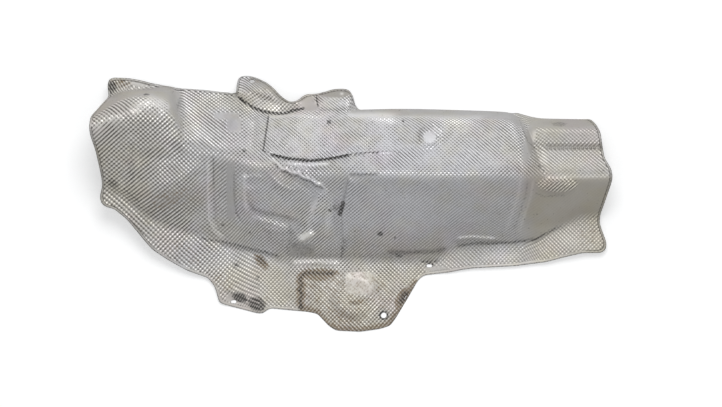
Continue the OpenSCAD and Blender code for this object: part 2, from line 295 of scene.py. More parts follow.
HOLLOW_EDGE = [(-131, 24), (-129, 4), (-121, -8), (-98, -13), (-66, -20)]
HOLLOW_RIDGE = [(-126, -17), (-102, -24), (-76, -32)]
DIAGONAL = [(-27, 21), (-38, 4), (-50, -18), (-60, -34)]
TAB_EDGE = [(-66, -131), (-54, -133), (-43, -136), (-29, -151), (-19, -157), (11, -158.5),
            (35, -155), (48, -151), (56, -140), (70, -116), (83, -94)]
TAB_CREASE = [(-14, -88), (-34, -88), (-50, -87), (-58, -88), (-62, -91), (-64, -96),
              (-61, -102), (-65, -108), (-61, -114), (-64, -121), (-62, -128), (-64, -136)]
LEFT_SHOULDER = [(-324, 91), (-310, 99), (-296, 106), (-282, 110)]
ARCH = [(-277, 113), (-262, 121), (-250, 127), (-238, 124), (-228, 114)]
WALL_EDGE = [(221, 32), (218, 10), (210, -15), (202, -38)]
SHARP_LINES = [PLEAT, TUCK, LUG_VALLEY, TEAR, FOLD]
print("sharp lines:", len(SHARP_LINES), "the longest has", max(map(len, SHARP_LINES)), "points")

# %% What the die raised
# Middle, radius of the foot, radius of the flat top, and rise, all in mm; the terrace has a length and
# a width instead of the radii
BOSS, BOSS_FOOT, BOSS_TOP, BOSS_RISE = (98, 83.0), 17.0, 8.5, 5.0
PAD, PAD_FOOT, PAD_TOP, PAD_RISE = (4, -114), 35, 19, 5.0
TERRACE, TERRACE_SIZE, TERRACE_RISE = (-226, 11.5), (120, 84), 6.0
PATCH_RISE = 3.0
PATCH_RIGHT = 34
# The patch fades over 30 mm to the right; its sharp edges rise over twice 0.8 mm, its back over twice 5
PATCH_FADE, PATCH_SHARP, PATCH_SOFT = 30, 0.8, 5
PATCH_PAST_SHOULDER = 3
SHOULDER = 5


def pressed(x, y):
    """The raised places that the die leaves."""
    height = BOSS_RISE * ramp(BOSS_FOOT, BOSS_TOP, np.hypot(x - BOSS[0], y - BOSS[1]))
    height = height + PAD_RISE * ramp(PAD_FOOT, PAD_TOP, np.hypot(x - PAD[0], y - PAD[1]))
    from_terrace = np.hypot((x - TERRACE[0]) / TERRACE_SIZE[0], (y - TERRACE[1]) / TERRACE_SIZE[1])
    height = height + TERRACE_RISE * ramp(0.5, 0, from_terrace)
    pleat_x = np.interp(y, [p[1] for p in PLEAT], [p[0] for p in PLEAT])
    tuck_y = np.interp(x, [p[0] for p in TUCK], [p[1] for p in TUCK])
    back = along(LINES[SHOULDER], x, 1) + PATCH_PAST_SHOULDER
    patch = ramp(-PATCH_SHARP, PATCH_SHARP, x - pleat_x) * ramp(PATCH_RIGHT + PATCH_FADE, PATCH_RIGHT, x)
    patch = patch * ramp(-PATCH_SHARP, PATCH_SHARP, y - tuck_y) * ramp(PATCH_SOFT, -PATCH_SOFT, y - back)
    return height + PATCH_RISE * patch


print("the pad's middle is raised by", pressed(np.array([PAD[0]]), np.array([PAD[1]])), "mm")

# %% Creases of the middle and the right end
# Each crease has its points, width and height in mm (below 0 is a groove) and, if it isn't a fifth,
# the part of its ends over which it fades
CREASES = [
    # The long fold from the ridge down the front wall, and its cracks
    (FOLD, 2.6, 2.2),
    (CRACK, 1.3, 2.0, 0.1),
    (CRACK_ABOVE, 1.3, 1.6),
    (moved(CRACK, 0, -4), 1.5, -1.4),
    ([(-95, 41), (-80, 34), (-62, 26), (-45, 13)], 5.0, -1.8),
    # Roots of the lugs, and the steps across them
    (LUG_VALLEY, 1.7, -1.2, 0.08),
    (TEAR, 1.0, -1.1, 0.1),
    ([(-52, 115.5), (-25, 115), (6, 115.5)], 1.6, -1.2),
    ([(-134, 142), (-118, 140), (-100, 133), (-86, 124)], 3.0, 1.6),
    ([(-52, 128), (-25, 129), (-2, 130)], 2.6, 1.2),
    # Panel edges in the left part of the front wall
    (PANEL_LEFT, 1.8, -1.2),
    (moved(PANEL_LEFT, -7), 2.4, 2.4),
    (PANEL_RIGHT, 1.8, -1.5),
    (PANEL_RIDGE, 3.0, 2.2),
    ([(-160, 50), (-160, 20), (-159, -8)], 6.0, -1.2),
    (HOLLOW_RIDGE, 3.4, 2.4),
    ([(-112, -30), (-96, -33), (-78, -36)], 3.0, 1.4),
    ([(-104, 38), (-88, 22), (-66, 14)], 3.0, 1.5),
    ([(-137, 30), (-122, 34), (-108, 32)], 2.4, 1.2),
    # Long crease over the foot at the right, and the panel edges of the wall there
    ([(126, -46), (150, -42), (188, -45)], 2.0, 2.8),
    ([(120, -51), (150, -48), (200, -50)], 2.4, -1.6),
    (moved(WALL_EDGE, -10), 2.4, 1.5),
    (WALL_EDGE, 2.4, -1.7),
    ([(283, 22), (280, 0), (275, -12)], 2.2, 0.9),
    # Valley of the right end, the dent at its corner, and upright streaks in the step down to it
    ([(243, 69.5), (280, 69.5), (320, 70)], 2.4, -2.6, 0.05),
    ([(228, 50), (232, 42), (243, 36)], 2.2, -1.4),
    ([(211, 108), (216, 88), (222, 66), (228, 50)], 2.0, 2.0),
    ([(219, 100), (226, 80), (233, 60), (238, 46)], 2.0, -2.0),
]
print("creases of the middle and the right end:", len(CREASES))

# %% Creases of the left end, the flange and the tab
CREASES += [
    # Left end: arch and shoulder in the ridge, creases down the wall, and the bent corner
    (ARCH, 6.0, 2.4),
    (LEFT_SHOULDER, 6.0, 1.6),
    ([(-272, 14), (-234, 26), (-197, 42), (-184, 58)], 9.0, 3.0),
    ([(-275, 54), (-248, 57), (-221, 55), (-215, 79)], 9.0, -2.6),
    ([(-280, 104), (-281, 80), (-280, 50)], 5.0, 1.0),
    ([(-289, 36), (-281, 22), (-270, 4)], 3.0, -1.0),
    ([(-277, 60), (-279, 30), (-283, 4)], 6.0, -1.4),
    # Behind the ridge, between the left end and the pleat
    ([(-121, 108), (-121, 90), (-124, 70)], 4.0, -1.6),
    ([(-190, 84), (-175, 70), (-150, 62)], 5.0, 1.2),
    # Flange, flap and tab
    ([(84, -73), (98, -72), (112, -73)], 2.6, -1.2),
    ([(300, -33), (306, -39), (300, -45), (295, -39), (300, -33)], 1.6, 0.4, 0.01),
    (TAB_CREASE, 2.6, -2.2),
    ([(-72, -81), (-50, -80), (-28, -83)], 3.0, -1.8),
    ([(-80, -75), (-50, -74), (-8, -75)], 3.4, 2.0),
    ([(-158, -109), (-142, -110), (-128, -114)], 2.6, 1.4),
    ([(-116, -66), (-108, -72), (-102, -80)], 2.0, -1.0),
    ([(-20, -144), (5, -150), (30, -149)], 5.0, -1.0),
]
print("creases in all:", len(CREASES))

# %% Folds and dents, and all of them together
# Folds: points, reach, height, half the width of the step, fade
FOLDS = [
    (HOLLOW_EDGE, 20, 2.6, 2.2, 0.1),
    (DIAGONAL[::-1], 9, 3.0, 2.2, 0.25),
    # Upright crease in the middle of the front wall, and the dent beside its foot
    ([(-3, 36), (-7, 14), (-12, -14), (-10, -50)], 14, 2.6, 1.4, 0.1),
    ([(-70, -50), (-58, -47), (-42, -38)], 8, 5.2, 2.0, 0.3),
]
# Bulges and dents: middle, radii, height and, where needed, angle and softness of the edge
DENTS = [
    ((-12.5, -7), (5, 5), -1.2),
    ((-27.5, -9.5), (4, 4), -0.8),
    # Bulge under the right terrace, the dent at its corner, and the pinch in the left end's ridge
    ((257, 22), (29, 12), 6.0, 0, 0.7),
    ((237, 44), (8, 6), -2.4),
    ((-255, 136), (4, 2.6), -2.8),
    ((-144, 98), (9, 13), 0.8, 0, 0.5),
    # Flange, flap and tab
    ((66, -116), (15, 8), -2.0, 58),
    ((-144, -120), (13, 7), -1.2, -10),
    ((-118, -126), (12, 10), 1.0),
]
SWELL = 0.35


def worn(x, y):
    """Folds, creases and dents, each where it shows on the shield."""
    height = np.zeros(np.shape(x))
    for shape, rows in ((crease, CREASES), (fold, FOLDS), (bump, DENTS)):
        for row in rows:
            height += shape(x, y, *row)
    # The sheet isn't quite even anywhere
    height += SWELL * np.sin(x / 17 + 1.3 * np.sin(y / 29)) * np.sin(y / 13 + 0.8 * np.sin(x / 31))
    return height


print("folds:", len(FOLDS), "dents:", len(DENTS))

# %% The outer side of the sheet
SHEET_T = 1.2


def surface(u, v):
    """Place of the sheet's outer side at u, v, in millimetres."""
    y = look_up(section_y, u, v)
    z = look_up(section_z, u, v) + pressed(u, y) + worn(u, y) + SHEET_T
    return np.stack([u, y, z], axis=-1)


def surface_and_normal(u, v, reach=0.7):
    """The same place, and the direction that is square to the sheet there."""
    place = surface(u, v)
    du = surface(u + reach, v) - surface(u - reach, v)
    dv = surface(u, v + reach) - surface(u, v - reach)
    normal = np.cross(du, dv)
    return place, normal / np.linalg.norm(normal, axis=1)[:, None]


probe = surface(np.array([0.0, 211.0]), np.array([41.0, 36.0]))
print("ridge at x 0 and 211 mm:", probe.round(1).tolist())

# %% [markdown]
# ## The cut outline
#
# The die cuts the sheet after pressing, so the outline is drawn as it is seen from above and then
# carried over to the sheet's own coordinates. Behind the back wall the sheet simply ends where it
# meets the floor. Corners are rounded a little, and the line is walked at an even pace, because its
# steps become the edge of the mesh.

# %% Outline in millimetres, seen from above
OUTLINE = [
    (-304, 152), (-302, 156), (-297, 157.5), (-277, 157), (-261, 154), (-251, 151), (-234, 148),
    (-212, 144), (-187, 143.5), (-164, 141), (-144, 137), (-143, 149), (-141.5, 156),
    (-138, 159.5), (-129, 160.5), (-119, 158), (-106, 152), (-96, 144), (-89, 136), (-81, 129.5),
    (-75, 127), (-68, 128.5), (-61, 134), (-57, 137), (-43, 137.5), (-31, 140.5), (-22, 143.5),
    (-8, 144), (-2, 142), (3, 134), (5.5, 123), (9, 121), (34, 122), (140, 120), (190, 119),
    (215, 114), (228, 112.5), (233, 114), (256, 113.5), (261, 109), (296, 107.5), (301, 105),
    (307, 99), (312, 89), (314, 74), (317, 57), (325, 44), (327, 33), (325, 24), (322, 15),
    (315, -6), (312, -14), (311, -24), (315, -36), (320, -49), (319, -58), (313, -62), (290, -62),
    (268, -67), (245, -73), (207, -78), (152, -81), (138, -83), (124, -86), (98, -89), (91, -90),
    (84, -96), (57, -142), (49, -153), (36, -157), (11, -160.5), (-19, -159), (-28, -153),
    (-42, -138), (-55, -135.5), (-72, -134), (-101, -131), (-106, -134), (-111, -138), (-119, -137),
    (-157, -127), (-165, -124), (-168, -112), (-171, -103), (-179, -93), (-194, -88), (-205, -84),
    (-230, -70), (-248, -58), (-257, -48), (-269, -33), (-281, -19), (-296, -7), (-307, -4),
    (-312, 0), (-314, 8), (-311, 22), (-312, 33), (-314, 43), (-319, 66), (-325.5, 85), (-327, 97),
    (-325, 109), (-316, 119), (-303, 134), (-304.5, 147)
]
print("outline drawn with", len(OUTLINE), "corners")

# %% Helpers for outlines
def rounded(points, corner):
    """Points of a closed outline with each corner replaced by a small curve."""
    p = np.array(points, float)
    out = []
    for before, here, after in zip(np.roll(p, 1, 0), p, np.roll(p, -1, 0)):
        a = here + (before - here) * min(0.45, corner / np.linalg.norm(before - here))
        b = here + (after - here) * min(0.45, corner / np.linalg.norm(after - here))
        out += [(1 - t) ** 2 * a + 2 * t * (1 - t) * here + t * t * b for t in np.linspace(0, 1, 5)]
    return np.array(out)


def walked(points, step):
    """A closed outline walked in even steps."""
    closed = np.vstack([points, points[:1]])
    length = np.concatenate([[0], np.cumsum(np.linalg.norm(np.diff(closed, axis=0), axis=1))])
    count = int(round(length[-1] / step))
    at = np.linspace(0, length[-1], count, endpoint=False)
    return np.stack([np.interp(at, length, closed[:, k]) for k in range(2)], axis=1)


print("a square walked in steps of 1:", len(walked(np.array([(0, 0), (1, 0), (1, 1), (0, 1)]), 1)), "points")

# %% Outline on the sheet
CORNER = 3.0
FINE_STEP = 0.5
EDGE_STEP = 1.9
FLOOR_EDGE = 0.8
# Past this y or v only the back wall and the lugs come down to the floor
BACK_PART = 60

seen = walked(rounded(OUTLINE, CORNER), FINE_STEP)
edge = np.stack([seen[:, 0], v_at(seen[:, 0], seen[:, 1])], axis=1)
# At the back the sheet ends where it reaches the floor
behind = v_range > BACK_PART


def floor_meeting(heights):
    """v at which a section, followed back from the ridge, reaches the floor."""
    below = np.flatnonzero(heights < FLOOR_EDGE)
    if len(below) == 0:
        return np.inf
    last = below[0]
    share = (heights[last - 1] - FLOOR_EDGE) / (heights[last - 1] - heights[last])
    return v_range[behind][last - 1] + share * STEP


meets = np.array([floor_meeting(row) for row in section_z[:, behind] + SHEET_T])
column = np.clip(np.rint((edge[:, 0] - stations[0]) / STEP).astype(int), 0, len(stations) - 1)
edge[:, 1] = np.where(seen[:, 1] > BACK_PART, np.minimum(edge[:, 1], meets[column]), edge[:, 1])
edge = walked(edge, EDGE_STEP)
for _ in range(2):
    edge = (np.roll(edge, 1, 0) + 2 * edge + np.roll(edge, -1, 0)) / 4
# The sheet lies to the left of every loop, the outline's and the holes'
edge = edge[::-1]
print("outline:", len(edge), "points")

# %% [markdown]
# ## Holes
#
# Two bolt holes and two slots go through the sheet. In the sheet's own coordinates a hole is a plain
# circle even on a tilted lug, just as a punch makes it square to the sheet. A boolean would leave long
# thin triangles around them; a loop of points that the mesh is built from doesn't.

# %% Loops of the holes
# Middle as seen from above, length and width
HOLES = [((41, -140), 7, 7), ((-124, 153.5), 7, 7), ((98, -78), 7, 4), ((-147, -123), 7, 4)]
HOLE_POINTS = 36
# The loops start a little off the axis, so that no point lies where the cosine changes its sign
HOLE_START = 0.05


def hole_loop(middle, length, width):
    """Loop of a round-ended hole, walked clockwise."""
    turn = -np.linspace(0, 2 * math.pi, HOLE_POINTS, endpoint=False) + HOLE_START
    across = v_at(np.array([middle[0]]), np.array([middle[1]]))[0]
    straight = (length - width) / 2 * np.sign(np.cos(turn))
    return np.stack([middle[0] + np.cos(turn) * width / 2 + straight,
                     across + np.sin(turn) * width / 2], axis=1)


def inset(loop, total, stages):
    """Loops at even distances to the left of a loop, each a little smoother than the last."""
    loops = [loop]
    for _ in range(stages):
        p = loops[-1]
        way = np.roll(p, -1, 0) - np.roll(p, 1, 0)
        left = np.stack([-way[:, 1], way[:, 0]], axis=1) / np.linalg.norm(way, axis=1)[:, None]
        p = p + left * total / stages
        loops.append((np.roll(p, 1, 0) + 2 * p + np.roll(p, -1, 0)) / 4)
    return loops


holes = [hole_loop(*hole) for hole in HOLES]
print("holes:", len(holes), "the largest", max(np.ptp(h[:, 0]) for h in holes).round(2), "mm long")

# %% [markdown]
# ## Points in the rhythm of the dots
#
# The dots stand 5 mm apart in a row and every second row is shifted by half of that. A grid of points
# with the same rhythm, one on each dot, one in each hollow and one between, shows them with the fewest
# triangles: about 74,000 points for both sides. An evenly subdivided plane would need many more for the
# same round dots. In the photograph the dots get larger towards the left end, so the grid is stretched
# there. Extra points along the sharp folds keep those crisp.

# %% Rhythm of the dots
DOT = 5.0
# How much larger the pattern is, as (x, factor)
STRETCH = [(-330, 1.25), (-240, 1.2), (-200, 1.15), (-150, 1.1), (-115, 1.0), (330, 1.0)]
PATTERN_MIDDLE = 60.0

stretch_at = np.interp(stations, *zip(*STRETCH))
pattern_p = np.concatenate([[0], np.cumsum(STEP / ((stretch_at[1:] + stretch_at[:-1]) / 2))])
pattern_p += stations[0]


def pattern_of(u, v):
    """Place in the pattern of dots, whose rows are always the same distance apart."""
    scale = np.interp(u, stations, stretch_at)
    return np.stack([np.interp(u, stations, pattern_p),
                     PATTERN_MIDDLE + (v - PATTERN_MIDDLE) / scale], axis=-1)


print("rows of dots along the shield:", round((pattern_p[-1] - pattern_p[0]) / DOT))

# %% Which points lie inside a loop or near others
def inside(points, loop, chunk=4000):
    """Which points lie inside a closed loop."""
    x1, y1 = loop.T
    x2, y2 = np.roll(loop, -1, 0).T
    run = np.where(y2 == y1, 1, y2 - y1)
    result = []
    for k in range(0, len(points), chunk):
        x, y = points[k:k + chunk, 0][:, None], points[k:k + chunk, 1][:, None]
        crossed = ((y1 > y) != (y2 > y)) & (x < (x2 - x1) * (y - y1) / run + x1)
        result.append(crossed.sum(axis=1) % 2 == 1)
    return np.concatenate(result)


def clear_of(points, others, distance, chunk=2000):
    """Which points are farther than a distance from all the others."""
    result = []
    for k in range(0, len(points), chunk):
        part = points[k:k + chunk]
        d2 = ((part[:, None, 0] - others[None, :, 0]) ** 2
              + (part[:, None, 1] - others[None, :, 1]) ** 2)
        result.append(d2.min(axis=1) > distance**2)
    return np.concatenate(result)


print("u 0, v 0 lies inside the outline:", inside(np.zeros((1, 2)), edge))

# %% Points of both sides
GRID = DOT / 4
RIM = 3.4
RIM_STAGES = 8
HOLE_RIM = 0.8
# Room around the inner loops, as a part of the grid's step, and around the points beside folds, in mm
ROOM = 0.7
BESIDE_ROOM = 0.8
# How far beside a fold its extra points lie, and the room that both grids leave to the fold
BESIDE = 0.9
FINE_ROOM, COARSE_ROOM = 1.7, 2.4

rims = [inset(edge, RIM, RIM_STAGES)] + [inset(h, HOLE_RIM, RIM_STAGES) for h in holes]
inner = [rim[-1] for rim in rims]


def grid_points(step):
    """Staggered grid inside the inner loops, with a little room to them."""
    m = np.arange(math.floor(pattern_p[0] / step), math.ceil(pattern_p[-1] / step))
    n = np.arange(math.floor(v_range[0] / step), math.ceil(v_range[-1] / step))
    mm, nn = np.meshgrid(m, n)
    even = (mm + nn) % 2 == 0
    u = np.interp(mm[even] * step, pattern_p, stations)
    v = PATTERN_MIDDLE + (nn[even] * step - PATTERN_MIDDLE) * np.interp(u, stations, stretch_at)
    points = np.stack([u, v], axis=1)
    points = points[inside(points, inner[0])]
    for loop in inner[1:]:
        points = points[~inside(points, loop)]
    return points[clear_of(points, np.concatenate(inner), step * ROOM)]


def rails(offsets, step=1.3):
    """Points beside the sharp folds."""
    out = []
    for line in SHARP_LINES:
        p = np.array(line, float)
        p = np.stack([p[:, 0], v_at(p[:, 0], p[:, 1])], axis=1)
        cuts = np.concatenate([[0], np.cumsum(np.linalg.norm(np.diff(p, axis=0), axis=1))])
        at = np.arange(step / 2, cuts[-1], step)
        mid = np.stack([np.interp(at, cuts, p[:, k]) for k in range(2)], axis=1)
        way = np.gradient(mid, axis=0)
        left = np.stack([-way[:, 1], way[:, 0]], axis=1) / np.linalg.norm(way, axis=1)[:, None]
        out += [mid + left * offset for offset in offsets]
    return np.concatenate(out)


fold_lines = rails([0.0])
beside_folds = rails([-BESIDE, 0.0, BESIDE])
beside_folds = beside_folds[inside(beside_folds, inner[0])]
beside_folds = beside_folds[clear_of(beside_folds, np.concatenate(inner), BESIDE_ROOM)]
fine = grid_points(GRID)
fine = fine[clear_of(fine, fold_lines, FINE_ROOM)]
coarse = grid_points(2 * GRID)
coarse = coarse[clear_of(coarse, fold_lines, COARSE_ROOM)]
print("points above:", len(fine), "below:", len(coarse), "beside folds:", len(beside_folds))

# %% [markdown]
# ## One closed mesh
#
# The points are joined by a Delaunay triangulation in the flat coordinates, once for the outer side
# and once, with fewer points, for the inner side. Rings of faces around the outline and around each hole
# join the two. A Solidify modifier would double every dot as well; the rings also carry the turned rim:
# a small groove, a rounded lip, and the cut edge.

# %% Triangles over the points
SAME_POINT = 1e-5


def triangulated(points):
    """Triangles over the points and the inner loops; the loops' points come first."""
    everything = np.concatenate(inner + [points])
    links, start = [], 0
    for loop in inner:
        links += [(start + i, start + (i + 1) % len(loop)) for i in range(len(loop))]
        start += len(loop)
    _, _, faces, origins, _, _ = delaunay_2d_cdt(everything.tolist(), links, [], 0, SAME_POINT)
    faces = np.array([ids[0] for ids in origins])[np.array(faces)]
    # Only a triangle with all its corners on the loops can lie in a hole or outside the outline
    middle = everything[faces].mean(axis=1)
    doubtful = np.flatnonzero((faces < start).all(axis=1))
    good = inside(middle[doubtful], inner[0])
    for loop in inner[1:]:
        good &= ~inside(middle[doubtful], loop)
    keep = np.ones(len(faces), bool)
    keep[doubtful] = good
    return everything, faces[keep]


top_uv, top_faces = triangulated(np.concatenate([beside_folds, fine]))
under_uv, under_faces = triangulated(np.concatenate([beside_folds[::2], coarse]))
print("triangles above:", len(top_faces), "below:", len(under_faces))

# %% Rows of the rim, and the depths of both sides
# Distance in from the edge, height over the outer side without and with the lip, and painted shade without
# and with the lip, dark in the lip's groove and at the cut edge
RIM_ROWS = [(3.4, -0.25, -0.25, 0.0, 0.5), (3.15, -0.4, -0.95, 0.0, 0.9), (2.85, -0.25, -0.5, 0.0, 0.7),
            (2.4, -0.25, 0.1, 0.0, 0.35), (1.3, -0.25, 0.4, 0.15, 0.35), (0.5, -0.25, 0.15, 0.6, 0.5),
            (0.0, -0.45, -0.25, 1.0, 1.0), (0.0, -1.0, -1.0, 1.0, 1.0), (0.4, -1.15, -1.15, 0.4, 0.4),
            (3.4, -1.15, -1.15, 0.0, 0.0)]
# Distance in from the hole's edge, height over the outer side, and painted shade
HOLE_ROWS = [(0.8, -0.25, 0.5), (0.3, -0.3, 1.0), (0.0, -0.45, 1.0), (0.0, -1.05, 1.0),
             (0.3, -1.15, 0.5), (0.8, -1.15, 0.0)]
TOP_DEPTH, UNDER_DEPTH = -0.25, -1.15
LIP_LEAST = 0.12
print("sheet between its dots:", round(TOP_DEPTH - UNDER_DEPTH, 2), "mm thick")

# %% Both sides
SKIN, RING, UNDER = 1, 0, -1
uv_list, depth_list, kind_list, dark_list, faces_list = [], [], [], [], []


def add_points(uv, depth, kind, dark=0.0):
    """Adds points to the mesh and says which number the first one has."""
    first = sum(len(p) for p in uv_list)
    uv_list.append(uv)
    depth_list.append(np.broadcast_to(depth, len(uv)).astype(float))
    kind_list.append(np.full(len(uv), kind))
    dark_list.append(np.broadcast_to(dark, len(uv)).astype(float))
    return first


add_points(top_uv, TOP_DEPTH, SKIN)
faces_list += top_faces.tolist()
under_first = add_points(under_uv, UNDER_DEPTH, UNDER)
faces_list += (under_first + under_faces[:, ::-1]).tolist()
print("inner side starts at point", under_first)

# %% Rings around the outline and the holes
def lip_share(u, v):
    """How strongly the rim is turned over: fully at both ends and on the lugs."""
    y = look_up(section_y, u, v)
    ends = np.maximum(ramp(-235, -262, u), ramp(285, 300, u))
    lugs = ramp(112, 120, y) * ramp(10, 2, u)
    return np.maximum(LIP_LEAST, np.maximum(ends, lugs))


offset = 0
for k, rim in enumerate(rims):
    count = len(rim[0])
    rows = RIM_ROWS if k == 0 else [(d, h, h, c, c) for d, h, c in HOLE_ROWS]
    width = RIM if k == 0 else HOLE_RIM
    share = lip_share(*rim[0].T)
    before = np.arange(offset, offset + count)
    # A row's darkness is painted shade: in the lip's groove, at the cut edge and in the rims of the holes
    for distance, plain, lipped, edge_shade, lip_edge_shade in rows[1:-1]:
        at = distance / width * RIM_STAGES
        low = min(int(at), RIM_STAGES - 1)
        ring_uv = rim[low] * (1 - at + low) + rim[low + 1] * (at - low)
        first = add_points(ring_uv, plain + (lipped - plain) * share, RING,
                           edge_shade + (lip_edge_shade - edge_shade) * share)
        here = first + np.arange(count)
        faces_list += np.stack([before, here, np.roll(here, -1), np.roll(before, -1)], axis=1).tolist()
        before = here
    # The last row is the edge of the inner side
    here = under_first + np.arange(offset, offset + count)
    faces_list += np.stack([before, here, np.roll(here, -1), np.roll(before, -1)], axis=1).tolist()
    offset += count

uv = np.concatenate(uv_list)
depth = np.concatenate(depth_list)
kind = np.concatenate(kind_list)
dark = np.concatenate(dark_list)
print("rings:", (kind == RING).sum(), "points around", len(rims), "edges")

# %% Places in space
LEAST_HEIGHT = 0.85

place, normal = surface_and_normal(uv[:, 0], uv[:, 1])
sheet = place + normal * depth[:, None]
low_box, high_box = np.array(cad_low) / MM, np.array(cad_high) / MM
outside = np.maximum(sheet - high_box, low_box - sheet).max(axis=0)
sheet = np.clip(sheet, low_box, high_box)
# Dents that the floor stops still leave the sheet its thickness
sheet[:, 2] = np.where(kind == SKIN, np.maximum(sheet[:, 2], LEAST_HEIGHT), sheet[:, 2])
print("mesh:", len(sheet), "points,", len(faces_list), "faces; brought in by at most", outside.round(2))

# %% [markdown]
# ## Where the sheet is smooth, dirty or worn, and where light and shade are painted
#
# Numbers kept on every point tell the dots and the metal what happened there. `press` says how high the
# dots stand: the press flattened them on the pads and stretched them away on the steepest walls. The
# others are for the metal: `grime` is the brown dirt of the tab and the front edge; one mask holds soot
# together with painted shade in folds, corners and rims, one the places rubbed bright together with
# painted highlights on crests and lit sides, and one the metal that the press drew out and left dull
# together with painted shade on steep slopes and at the foot of the front wall; `cool` and `warm` are the
# faint blue of heat and the yellow of age. Painted textures would need an unwrapped sheet; these masks are
# formulas of the same x and y as the dents.

# %% Where the dots are high or flattened
# Along the shield, as (x, height): behind the ridge, on the front wall and on the flange
TOP_DOTS = [(-330, 1.1), (-230, 1.0), (-190, 0.95), (-100, 1.0), (40, 1.0), (75, 1.0), (220, 0.95),
            (235, 0.6), (330, 0.6)]
WALL_DOTS = [(-330, 1.15), (-215, 1.15), (-190, 0.8), (-150, 0.6), (-110, 0.75), (-40, 0.75),
             (40, 0.55), (120, 0.42), (206, 0.4), (218, 0.06), (330, 0.03)]
FLANGE_DOTS = [(-330, 1.1), (-185, 1.1), (-150, 0.75), (-100, 0.7), (-60, 0.95), (45, 1.0), (75, 0.8),
               (100, 0.6), (330, 0.6)]
# Places that the die flattened, as (middle, radii, angle); the first are nearly rectangles
FLATTENED_SQUARE = [
    ((12, -100), (21, 15.5), 0), ((-146, 98), (10, 10), 0), ((-156, 110), (17, 4), 0),
    ((-150, 16), (6, 38), 0), ((-61, -58), (17, 9), 0),
]
FLATTENED = [
    # Front side
    ((108, -83), (20, 6), 0), ((68, -112), (14, 7), 58), ((-145, -120), (15, 8), -10),
    ((-57, -41), (9, 4.5), 32), ((8, 36), (15, 3.5), 0), ((-37, 17), (7, 4), -20),
    ((-46, 1), (5, 17), -8), ((-8, 12), (4, 26), -8),
    # Behind the ridge
    (BOSS, (10, 10), 0), ((-27.5, 102.5), (3, 3), 0), ((-220, 126), (10, 21), -8),
    ((270, 100), (52, 9), 0), ((223, 78), (8, 36), -12),
    # Lugs and the left end's rim
    ((-51, 122), (16, 9), 0), ((-22, 139), (28, 9), 0), ((-264, 150), (16, 5), -8),
    ((-112, 155), (22, 4.5), -22), ((-84, 134), (17, 5), -42), ((-57, 130), (14, 6), 10),
]
# Places where the dots stand higher than around them, as (middle, radii, angle, how much higher)
RAISED_MORE = [
    ((-46, -12), (40, 13), 60, 0.5), ((-97, -27), (28, 10), -20, 0.4),
    ((-220, -15), (38, 12), -25, 0.3), ((-75, 60), (45, 14), -12, 0.3),
    ((165, -44), (40, 6), 0, 0.4), ((20, 50), (60, 10), 0, 0.2),
]
# Lines along which they are flattened, as (points, width, how much)
FLATTENED_LINES = [
    ([(40, -60), (86, -60), (105, -58), (125, -55)], 3.0, 0.8),
    (LUG_EDGE, 5.0, 0.95, 0.04), (CRACK, 1.8, 0.7), (ABOVE_FOLD, 1.8, 0.8),
]
BULGE_DOTS = ((258, 24), (29, 11), 1.1, 0, 0.3)
# Upward part of the sheet's direction where the dots are stretched away, and where they are whole
STRETCHED, WHOLE = 0.34, 0.52
FOOT = 1
print("flattened places:", len(FLATTENED) + len(FLATTENED_SQUARE), "and lines:", len(FLATTENED_LINES))

# %% How high the dots stand
def line_mask(x, y, points, width, strength, fade=0.1):
    """A soft line that fades over a tenth of its ends."""
    return crease(x, y, points, width, strength, fade)


def soft_box(x, y, left, right, front, back):
    """1 inside a box; each side is given as the places where it is still 0 and already 1."""
    return ramp(*left, x) * ramp(*right, x) * ramp(*front, y) * ramp(*back, y)


def press_at(x, y, steep):
    """How high the dots stand, from 0 to about 1.2."""
    foot, ridge = along(LINES[FOOT], x, 1), along(LINES[RIDGE], x, 1)
    wall = ramp(-4, 5, y - foot) * ramp(4, -6, y - ridge)
    top, front, flange = (np.interp(x, *zip(*dots)) for dots in (TOP_DOTS, WALL_DOTS, FLANGE_DOTS))
    value = wall * front + (1 - wall) * np.where(y < foot, flange, top)
    value += 0.35 * soft_box(x, y, (-107, -100), (60, 34), (56, 62), (118, 112))
    for middle, radii, angle, more in RAISED_MORE:
        value += bump(x, y, middle, radii, more, angle, edge=0.7)
    value *= ramp(STRETCHED, WHOLE, steep)
    value *= 1 - bump(x, y, (-226, 5), (48, 20), 0.6, angle=20)
    for middle, radii, angle in FLATTENED:
        value *= 1 - bump(x, y, middle, radii, 1, angle, edge=0.4)
    for middle, radii, angle in FLATTENED_SQUARE:
        value *= 1 - bump(x, y, middle, radii, 0.95, angle, edge=0.15, power=6)
    for line in FLATTENED_LINES:
        value *= 1 - line_mask(x, y, *line)
    # The bulge under the right terrace kept its dots
    return np.maximum(value, bump(x, y, *BULGE_DOTS))


press = np.where(kind == SKIN, press_at(place[:, 0], place[:, 1], normal[:, 2]), 0)
print("dots stand at", press.mean().round(2), "of their height before the soot is known")

# %% [markdown]
# ### Brown dirt
#
# Brown dirt is baked onto the tab and the front flange, thickest in the tab's crease and along its rim.
# It could be painted by hand. Soft spots and lines do the same and stay easy to move, and the strongest
# one wins, so that those that overlap don't add up. The other masks are made of such lists too.

